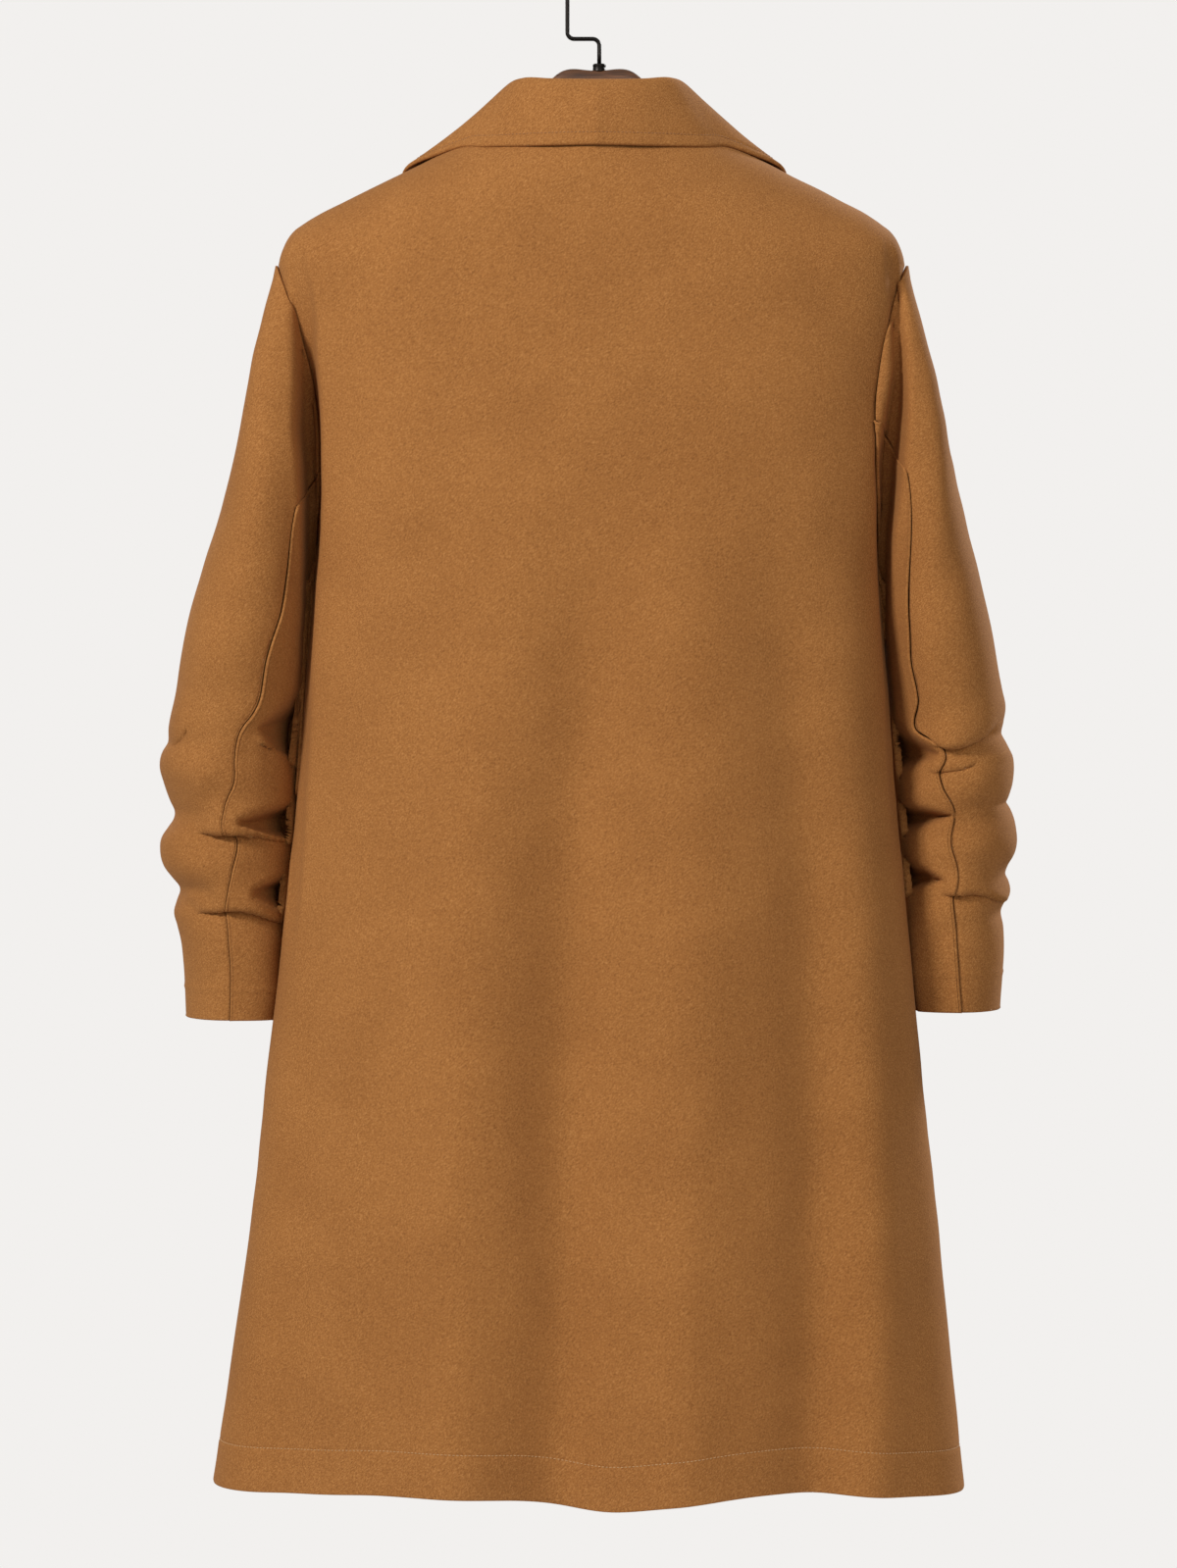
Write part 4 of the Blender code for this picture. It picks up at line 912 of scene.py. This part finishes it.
def lapel_surface(sign, roll_end, edge_end):
    """The lapel's face: round the fold from the front's inner side, then out over the front."""
    fold_turn = np.linspace(0, np.pi, ROLL_COLUMNS)
    across = np.sort(np.concatenate([np.linspace(0.03, 1, LAPEL_COLUMNS), LAPEL_CLOSE]))
    end_z = GORGE_Z + (BREAK_Z + LAPEL_END - GORGE_Z) * roll_end
    share = np.linspace(0, 1, LAPEL_ROWS)[:, None]
    edge_z = GORGE_Z - 1 + (end_z - GORGE_Z + 1) * share
    edge_x = front_edge_x(edge_z)
    fold_y = front_point(sign * edge_x, edge_z, sign)[..., 1]
    radius = CLOTH + LAPEL_GAP / 2
    x_fold = edge_x - SEAM_GAP - radius * np.sin(fold_turn)
    y_fold = fold_y - LAPEL_GAP / 2 + radius * np.cos(fold_turn)
    far_x = along(LAPEL_EDGE, "x", "share", share * edge_end)
    far_z = along(LAPEL_EDGE, "z", "share", share * edge_end)
    x_over = edge_x + (far_x - edge_x) * across
    z_over = edge_z + (far_z - edge_z) * across
    sewn = GORGE_Z - 1.2 + GORGE_SLOPE * (x_over[0] - GORGE_X)
    notch = GORGE_Z - 1.2 + GORGE_SLOPE * NOTCH_SHARE * (far_x[0] - GORGE_X)
    free = notch + (far_z[0] - notch) * (across - NOTCH_SHARE) / (1 - NOTCH_SHARE)
    top_z = np.where(across <= NOTCH_SHARE, sewn, free)
    z_over += (top_z - z_over[0]) * (1 - ease(share * 9))
    y_over = front_point(sign * x_over, z_over, sign)[..., 1] - CLOTH - LAPEL_GAP
    return joined(sign * np.concatenate([x_fold, x_over], 1), np.concatenate([y_fold, y_over], 1),
                  np.concatenate([edge_z + 0 * x_fold, z_over], 1))


for word, sign, roll_end, edge_end in (("left", 1, 1, 1), ("right", -1, 0.68, 0.8)):
    lapel_base = lapel_surface(sign, roll_end, edge_end)
    lapel_out = faced(grid_normals(lapel_base), -1)
    lapel_relief = (pressed_edges(lapel_base, (), ("top", "bottom", "last"))
                    + 0.7 * unevenness(lapel_base[..., 0], lapel_base[..., 2] + 50)
                    - groove(lapel_base, "last", COLLAR_STITCHES, 0.6, 1.3))
    lapel_base[..., 0] += shift(lapel_base[..., 2])
    lapel_outer = lapel_base + lapel_out * lapel_relief[..., None]
    lapel_piece = wool_wall(f"lapel_{word}_facing", lapel_outer, -lapel_out, f"lapel_{word}", bulge=0.6)
    stitch_rows[f"lapel_{word}_edge_stitches"] = row_at(lapel_outer, lapel_out, "last", COLLAR_STITCHES)


# ======== The seams' stitches ========
# Cotton-wrapped thread, 0.56 mm thick, in rows along the hem, the cuffs, the front edges, the collar and the
# lapels. Each stitch lies in the groove that the row has drawn into the cloth.

STITCH_PITCH = 2.9
STITCH_LENGTH = 2.1
THREAD_RADIUS = 0.28

# A stitch's points: share of its length, then height over the cloth and radius, both in thread radii.
STITCH = table("share lift radius", [(0, -1, 0.6), (0.3, 0.8, 1), (0.7, 0.8, 1), (1, -1, 0.6)])


def tube_faces(rings, around):
    """Faces of a closed tube: quads between its rings, and a strip of quads across each of its ends."""
    index = np.arange(rings * around).reshape(rings, around)
    following = np.roll(index, -1, axis=1)
    sides = np.stack([index[:-1], following[:-1], following[1:], index[1:]], -1).reshape(-1, 4)
    i = np.arange(around // 2 - 1)
    cap = np.stack([i, i + 1, around - 2 - i, around - 1 - i], -1)
    return np.concatenate([sides, index[0][cap[:, ::-1]], index[-1][cap]])


def strands(paths, up, radii, around=6):
    """Closed tubes along many paths of equally many points: rings of points at the radii round each path."""
    forward = unit(np.gradient(paths, axis=1))
    side = unit(np.cross(up, forward))
    above = np.cross(forward, side)
    turn = np.linspace(0, 2 * np.pi, around, endpoint=False)[:, None]
    ring = np.cos(turn) * side[:, :, None] + np.sin(turn) * above[:, :, None]
    points = paths[:, :, None] + np.reshape(radii, (-1, 1, 1)) * ring
    start = np.arange(len(paths)) * paths.shape[1] * around
    return points.reshape(-1, 3), (tube_faces(paths.shape[1], around) + start[:, None, None]).reshape(-1, 4)


def stitches(name, line, out, material):
    """A row of short bars of thread on a line: each is a tube that dips into the cloth at both ends."""
    steps = np.linalg.norm(np.diff(line, axis=0), axis=1)
    length = np.concatenate([[0], np.cumsum(steps)])
    start = np.arange(STITCH_PITCH, length[-1] - STITCH_PITCH, STITCH_PITCH)
    at = start[:, None] + STITCH["share"] * STITCH_LENGTH
    centre = np.stack([np.interp(at, length, line[:, i]) for i in range(3)], -1)
    normal = unit(np.stack([np.interp(at, length, out[:, i]) for i in range(3)], -1))
    centre = centre + normal * (STITCH["lift"] * THREAD_RADIUS)[:, None]
    points, faces = strands(centre, normal, THREAD_RADIUS * STITCH["radius"])
    return new_piece(name, points, faces, material, None)


def grained(name, color, roughness, stops, noise, drawn=None, bump=None, **constants):
    """A material whose colour follows one noise through a ramp. Drawn stretches the noise along the grain,
    and bump, a strength and a height in millimetres, lets the surface rise with it."""
    made, tree, shader = new_material(name, color, roughness, **constants)
    place = add_node(tree, "ShaderNodeTexCoord").outputs["Object"]
    if drawn:
        place = add_node(tree, "ShaderNodeMapping", drawn, Vector=place).outputs["Vector"]
    grain = add_node(tree, "ShaderNodeTexNoise", noise, Vector=place).outputs["Fac"]
    shade = ramp(tree, grain, stops)
    tree.links.new(shade.outputs["Color"], shader.inputs["Base Color"])
    if bump:
        settings = {"Strength": bump[0], "Distance": bump[1] * MM}
        raised = add_node(tree, "ShaderNodeBump", settings, Height=grain)
        tree.links.new(raised.outputs["Normal"], shader.inputs["Normal"])
    return made


def thread_material(name, color, light):
    """Spun polyester thread wrapped in cotton: a soft, slightly shiny strand. Its index is about 1.57."""
    twist = {"Scale": 1 / (0.5 * MM), "Detail": 1.0}
    return grained(name, color, 0.6, [(0.3, color), (0.7, light)], twist, bump=(0.4, 0.1), IOR=1.57,
                   Sheen_Weight=0.1)


PALE_THREAD = thread_material("pale_hem_thread", "#B98A55", "#CFA878")
TONAL_THREAD = thread_material("camel_thread", "#8E5C2D", "#A5713E")

for name, (line, normals) in stitch_rows.items():
    stitches(name, line, normals, PALE_THREAD if name == "back_hem_stitches" else TONAL_THREAD)


# ======== The buttonholes ========
# Three slits in the left front, 30 mm long, cut through the cloth and worked all round, with a fan at the
# outer end, with close stitches of the same thread.

HOLE_START, HOLE_END = -2.0, 28.0
HOLE_PITCH, HOLE_FAN = 0.62, 9
HOLE_THREAD = 0.34

# A buttonhole stitch's points: distance from the slit, height over the cloth, and radius in thread radii.
HOLE_STITCH = table("out lift radius", [(0.1, -0.5, 0.8), (0.9, 0.35, 1), (1.7, 0.3, 1), (2.3, -0.3, 0.7)])
BUTTON_Z = (-520.0, -630.0, -740.0)

for number, z in enumerate(BUTTON_Z, 1):
    along_slit = np.arange(HOLE_START, HOLE_END, HOLE_PITCH)
    fan = np.linspace(-np.pi / 2, np.pi / 2, HOLE_FAN)
    foot_x = np.concatenate([along_slit, along_slit, np.full(HOLE_FAN, HOLE_END)])[:, None]
    lean_x = np.concatenate([0 * along_slit, 0 * along_slit, np.cos(fan)])[:, None]
    lean_z = np.concatenate([1 + 0 * along_slit, -1 + 0 * along_slit, np.sin(fan)])[:, None]
    bar_x, bar_z = foot_x + lean_x * HOLE_STITCH["out"], z + lean_z * HOLE_STITCH["out"]
    bars = front_point(bar_x, bar_z, 1) + joined(shift(bar_z), -HOLE_STITCH["lift"], 0)
    points, faces = strands(bars, [0, -1, 0], HOLE_THREAD * HOLE_STITCH["radius"])
    new_piece(f"buttonhole_{number}", points, faces, TONAL_THREAD, None)


# ======== The buttons ========
# Turned from brown horn, 28 mm across, with a raised rim and four holes. Each is sewn to the right front
# with two bars of thread and a short shank, and lies in its buttonhole.

BUTTON_THICK, BUTTON_GAP = 4.2, 1.5
BUTTON_HOLE, BUTTON_HOLE_OUT, BUTTON_HOLE_DEPTH = 1.1, 2.25, 2.9
BUTTON_HOLE_WALL = 0.35  # how wide a hole's sloping wall is
BUTTON_AROUND = 96
BUTTON_THREAD = 0.3
BAR_SPREAD = 0.45  # between the three strands of a bar
BAR_RISE = np.array([-1.2, -0.25, 0.25, 0.35, 0.25, -0.25, -1.2])  # over the face, from hole to hole
SHANK_OUT = 1.6

# The button's side view, from the middle of its back to the middle of its face: radius and half heights. The
# mesh's steps on it are closest on the rim, and the dished face begins at FACE_STEP.
RIM_STEP, FACE_STEP = 8, 16
BUTTON_STEPS = np.concatenate([
    np.linspace(0, RIM_STEP, 6),
    np.linspace(RIM_STEP + 0.5, FACE_STEP, 18),
    np.linspace(FACE_STEP + 1, 30, 34),
])
BUTTON_PROFILE = table("step radius height", [
    (0, 0.3, -1), (6, 9, -1), (8, 12, -0.94), (9, 13.2, -0.6), (10, 14, 0), (11, 13.7, 0.6),
    (12, 12.9, 0.96), (13, 12, 1), (14, 11, 0.84), (15, 10, 0.66), (16, 9, 0.6), (30, 0.3, 0.56),
])


def horn():
    """Brown horn, turned and polished: dark and light streaks run one way. Horn's index is 1.56."""
    streak = {"Scale": 1 / (3.2 * MM), "Detail": 3.0, "Distortion": 0.8}
    drawn = {"Scale": (1, 1, 0.22), "Rotation": (0, 0.5, 0)}
    stops = [(0.34, "#2C1A10"), (0.7, "#7A5230"), (0.52, "#4B2F1C")]
    return grained("polished_horn", "#4B2F1C", 0.24, stops, streak, drawn, IOR=1.56, Coat_Weight=0.3,
                   Coat_Roughness=0.1)


HORN = horn()

for number, z in enumerate(BUTTON_Z, 1):
    step = BUTTON_STEPS[:, None]
    radius = np.interp(step, BUTTON_PROFILE["step"], BUTTON_PROFILE["radius"])
    height = np.interp(step, BUTTON_PROFILE["step"], BUTTON_PROFILE["height"]) * BUTTON_THICK / 2
    turn = np.linspace(0, 2 * np.pi, BUTTON_AROUND, endpoint=False)
    x, up = radius * np.cos(turn), radius * np.sin(turn)
    from_hole = np.hypot(np.abs(x) - BUTTON_HOLE_OUT, np.abs(up) - BUTTON_HOLE_OUT)
    hole = BUTTON_HOLE_DEPTH * ease((BUTTON_HOLE - from_hole) / BUTTON_HOLE_WALL + 0.5)
    sunk = np.where(step > FACE_STEP, hole, 0)
    middle = front_point(0.0, z, 1) + [shift(z), -BUTTON_GAP - BUTTON_THICK / 2, 0]
    grid = middle + joined(x, sunk - height, up)
    new_piece(f"button_{number}_horn", grid, tube_faces(len(step), BUTTON_AROUND), HORN, f"button_{number}")
    across = np.linspace(-1, 1, len(BAR_RISE))
    rows = (np.array([[-1], [1]]) * BUTTON_HOLE_OUT + BAR_SPREAD * np.arange(-1, 2)).reshape(-1, 1)
    rise = BAR_RISE + BUTTON_PROFILE["height"][-1] * BUTTON_THICK / 2
    bars = middle + joined(across * BUTTON_HOLE_OUT, -rise, rows)
    foot = np.linspace(SHANK_OUT, BUTTON_THICK / 2 + BUTTON_GAP + 0.8, len(BAR_RISE))
    shank = middle + joined(np.array([[-SHANK_OUT], [SHANK_OUT]]), foot, 0)
    points, faces = strands(np.concatenate([bars, shank]), [0.01, 0.01, 1], BUTTON_THREAD)
    new_piece(f"button_{number}_thread", points, faces, TONAL_THREAD, None)


# ======== The hanger ========
# A bar of brown varnished beech, sawn to the slope of the shoulders and rounded off at its ends. A
# blackened steel hook, bent from 3.2 mm wire with a crank, is driven into it through a short ferrule, and
# stays as it hangs.

HANGER_WIDTH = 13.0
HANGER_HALF = 213.0
HANGER_END = 6.0  # how long each end's rounding is; it stops a twentieth short, at a small flat face
BAR_AROUND = 40
BAR_SQUARE = 0.5  # below 1, the bar's section is squarer than an oval
END_STEPS = np.array([0, 0.4, 1.4])

# The bar by distance from its middle: the height of its top edge, and how high it is sawn.
BAR = table("x top height", [
    (0, -89, 32), (30, -92, 32), (44, -107, 30), (58, -131, 27), (80, -141.5, 26), (153, -176.5, 24),
    (187, -193.5, 21), (203, -203, 18), (213, -211, 12),
])
HOOK_WIRE, HOOK_RADIUS, HOOK_BEND = 1.6, 18.0, 5.0
HOOK_CRANK_Z, STEM_X = -65.0, -4.4
HOOK_OVER = 20.0
HOOK_TIP = [(-1.2, -3), (-4, -7.5)]
HOOK_TIP_WIRE, STEM_LOW = 1.1, -77.0
FERRULE_RADIUS, FERRULE_TOP = 5.0, -84.0


def beech():
    """Varnished beech: brown, with darker fibres and short flecks along the bar. Varnish's index is 1.5."""
    fibre = {"Scale": 1 / (2.2 * MM), "Detail": 4.0, "Distortion": 0.4}
    stops = [(0.32, "#3F2615"), (0.7, "#7A5030"), (0.5, "#5E3B22")]
    return grained("varnished_beech", "#5E3B22", 0.35, stops, fibre, {"Scale": (0.06, 1, 1)}, (0.25, 0.1),
                   IOR=1.5, Coat_Weight=0.5, Coat_Roughness=0.15)


def blackened_steel():
    """Steel wire, blackened and oiled: a dark metal, a little uneven in its shine. Iron's index is 2.9."""
    made, tree, shader = new_material("blackened_steel", "#2B2826", 0.38, IOR=2.9, Metallic=1.0)
    place = add_node(tree, "ShaderNodeTexCoord").outputs["Object"]
    patch = add_node(tree, "ShaderNodeTexNoise", {"Scale": 1 / (2.0 * MM), "Detail": 3.0}, Vector=place)
    level = add_node(tree, "ShaderNodeMapRange", {"To Min": 0.28, "To Max": 0.5}, Value=patch.outputs["Fac"])
    tree.links.new(level.outputs["Result"], shader.inputs["Roughness"])
    return made


BEECH, STEEL = beech(), blackened_steel()

bar_x = np.concatenate([END_STEPS - HANGER_HALF, np.linspace(-210, 210, 169), HANGER_HALF - END_STEPS[::-1]])
bar_top, bar_height = (along(BAR, column, "x", np.abs(bar_x)) for column in ("top", "height"))
bar_end = np.sqrt(1 - np.clip((np.abs(bar_x) - HANGER_HALF + HANGER_END) / (1.05 * HANGER_END), 0, 1) ** 2)
turn = np.linspace(0, 2 * np.pi, BAR_AROUND, endpoint=False)
square = [np.sign(wave) * np.abs(wave) ** BAR_SQUARE for wave in (np.cos(turn), np.sin(turn))]
bar_points = joined((bar_x + shift(bar_top))[:, None], (bar_end * HANGER_WIDTH / 2)[:, None] * square[0],
                    (bar_top - bar_height / 2)[:, None] + (bar_end * bar_height / 2)[:, None] * square[1])
new_piece("hanger_bar_beech", bar_points, tube_faces(len(bar_x), BAR_AROUND), BEECH, "hanger_bar")

# The ferrule's side view, from its foot, 1 mm inside the bar, up: one turned groove and a rounded rim.
ferrule_foot = along(BAR, "top", "x", -STEM_X) - 1.0
ferrule_upper = FERRULE_TOP - np.array([3, 2.6, 2.2, 1, 0.8, 0.25, 0])
ferrule_z = np.concatenate([[ferrule_foot, ferrule_foot + 0.5], ferrule_upper])
ferrule_radii = FERRULE_RADIUS - np.array([0, 0, 0, 0.35, 0, 0, 0, 0.3, 0.9])
points, faces = strands(joined(STEM_X, 0, ferrule_z)[None], [0, 1, 0], ferrule_radii, 48)
new_piece("hanger_ferrule_steel", points, faces, STEEL, "hanger_ferrule")

hook_radius = HOOK_RADIUS + HOOK_WIRE
corner = np.linspace(0, np.pi / 2, 9)
arc = np.linspace(0, np.pi + np.radians(HOOK_OVER), 61)
crank_out, crank_up = HOOK_BEND * (1 - np.cos(corner)), HOOK_BEND * np.sin(corner)
hook_x = np.concatenate([[STEM_X, STEM_X], STEM_X + crank_out, hook_radius - HOOK_BEND + crank_up,
                         hook_radius * np.cos(arc)])
hook_z = np.concatenate([[FERRULE_TOP - 0.5, STEM_LOW], HOOK_CRANK_Z - HOOK_BEND + crank_up,
                         HOOK_CRANK_Z + crank_out, hook_radius * np.sin(arc) - HOOK_RADIUS])
tip = np.array(HOOK_TIP) + [hook_x[-1], hook_z[-1]]
hook_path = joined(np.concatenate([hook_x, tip[:, 0]]), 0, np.concatenate([hook_z, tip[:, 1]]))
hook_radii = np.full(len(hook_path), HOOK_WIRE)
hook_radii[-1] = HOOK_TIP_WIRE
points, faces = strands(hook_path[None], [0, 1, 0], hook_radii, 24)
new_piece("hanger_hook_wire", points, faces, STEEL, "hanger_hook")


# ======== The stage ========
# A disc of pale studio paper far below the coat, a camera where the photograph was taken from, and large soft
# lights on the side that it shows, repeated on the other side.

CAMERA_Y = 3.1
VIEW_HEIGHT = 1.183  # metres of the coat's plane that the frame takes in
CAMERA_Z, FRAME_Z, FRAME_X = -0.5905, -0.6271, 0.0037
FLOOR_Z = -1.6
FLOOR_RADIUS, FLOOR_CORNERS = 0.95, 96
PAPER_FIBRE = 4.75  # the paper's slight unevenness, in millimetres
AMBIENT = 0.38  # of the paper's brightness, as light that comes from all round
PAPER_COLOR = "#F2F0EE"

camera_data = bpy.data.cameras.new("camera")
camera_data.sensor_fit, camera_data.sensor_height = "VERTICAL", 24.0
camera_data.lens = camera_data.sensor_height * CAMERA_Y / VIEW_HEIGHT
camera_data.shift_y = (FRAME_Z - CAMERA_Z) / VIEW_HEIGHT
camera = bpy.data.objects.new("camera", camera_data)
camera.location = (FRAME_X, CAMERA_Y, CAMERA_Z)
camera.rotation_euler = (np.pi / 2, 0, np.pi)
bpy.context.collection.objects.link(camera)
bpy.context.scene.camera = camera


def soft_light(name, place, size, power):
    """A square softbox that faces the middle of the coat."""
    light = bpy.data.lights.new(name, "AREA")
    light.size, light.energy = size, power
    made = bpy.data.objects.new(name, light)
    made.location = place
    aim = np.array([0, 0, FRAME_Z]) - place
    tilt = np.arctan2(np.hypot(aim[0], aim[1]), -aim[2])
    made.rotation_euler = (tilt, 0, np.arctan2(aim[1], aim[0]) - np.pi / 2)
    bpy.context.collection.objects.link(made)


for name, side in (("", 1), ("front_", -1)):
    soft_light(f"{name}key", (side * 2.3, side * 2.5, 1.3), 0.8, 104)
    soft_light(f"{name}fill", (side * -1.2, side * 3.2, 0.4), 1.6, 24)

world = bpy.data.worlds.new("studio")
world.use_nodes = True
studio = world.node_tree
seen = add_node(studio, "ShaderNodeLightPath").outputs["Is Camera Ray"]
level = add_node(studio, "ShaderNodeMapRange", {"To Min": AMBIENT, "To Max": 1.0}, Value=seen)
studio.nodes["Background"].inputs["Color"].default_value = linear(PAPER_COLOR)
studio.links.new(level.outputs["Result"], studio.nodes["Background"].inputs["Strength"])
bpy.context.scene.world = world
bpy.context.scene.view_settings.view_transform = "Standard"

floor_mesh = bpy.data.meshes.new("floor")
turn = np.linspace(0, 2 * np.pi, FLOOR_CORNERS, endpoint=False)
ring = joined(np.cos(turn) * FLOOR_RADIUS, np.sin(turn) * FLOOR_RADIUS, FLOOR_Z)
floor_mesh.from_pydata(ring.tolist(), [], [list(range(FLOOR_CORNERS))])
floor = bpy.data.objects.new("floor", floor_mesh)
bpy.context.collection.objects.link(floor)
PAPER, paper_tree, paper_shader = new_material("studio_paper", "#E0DEDC", 0.9)
paper_place = add_node(paper_tree, "ShaderNodeTexCoord").outputs["Object"]
paper_fibre = add_node(paper_tree, "ShaderNodeTexNoise", {"Scale": 1 / (PAPER_FIBRE * MM), "Detail": 2.0},
                       Vector=paper_place)
paper_bump = add_node(paper_tree, "ShaderNodeBump", {"Strength": 0.1, "Distance": MM},
                      Height=paper_fibre.outputs["Fac"])
paper_tree.links.new(paper_bump.outputs["Normal"], paper_shader.inputs["Normal"])
floor_mesh.materials.append(PAPER)
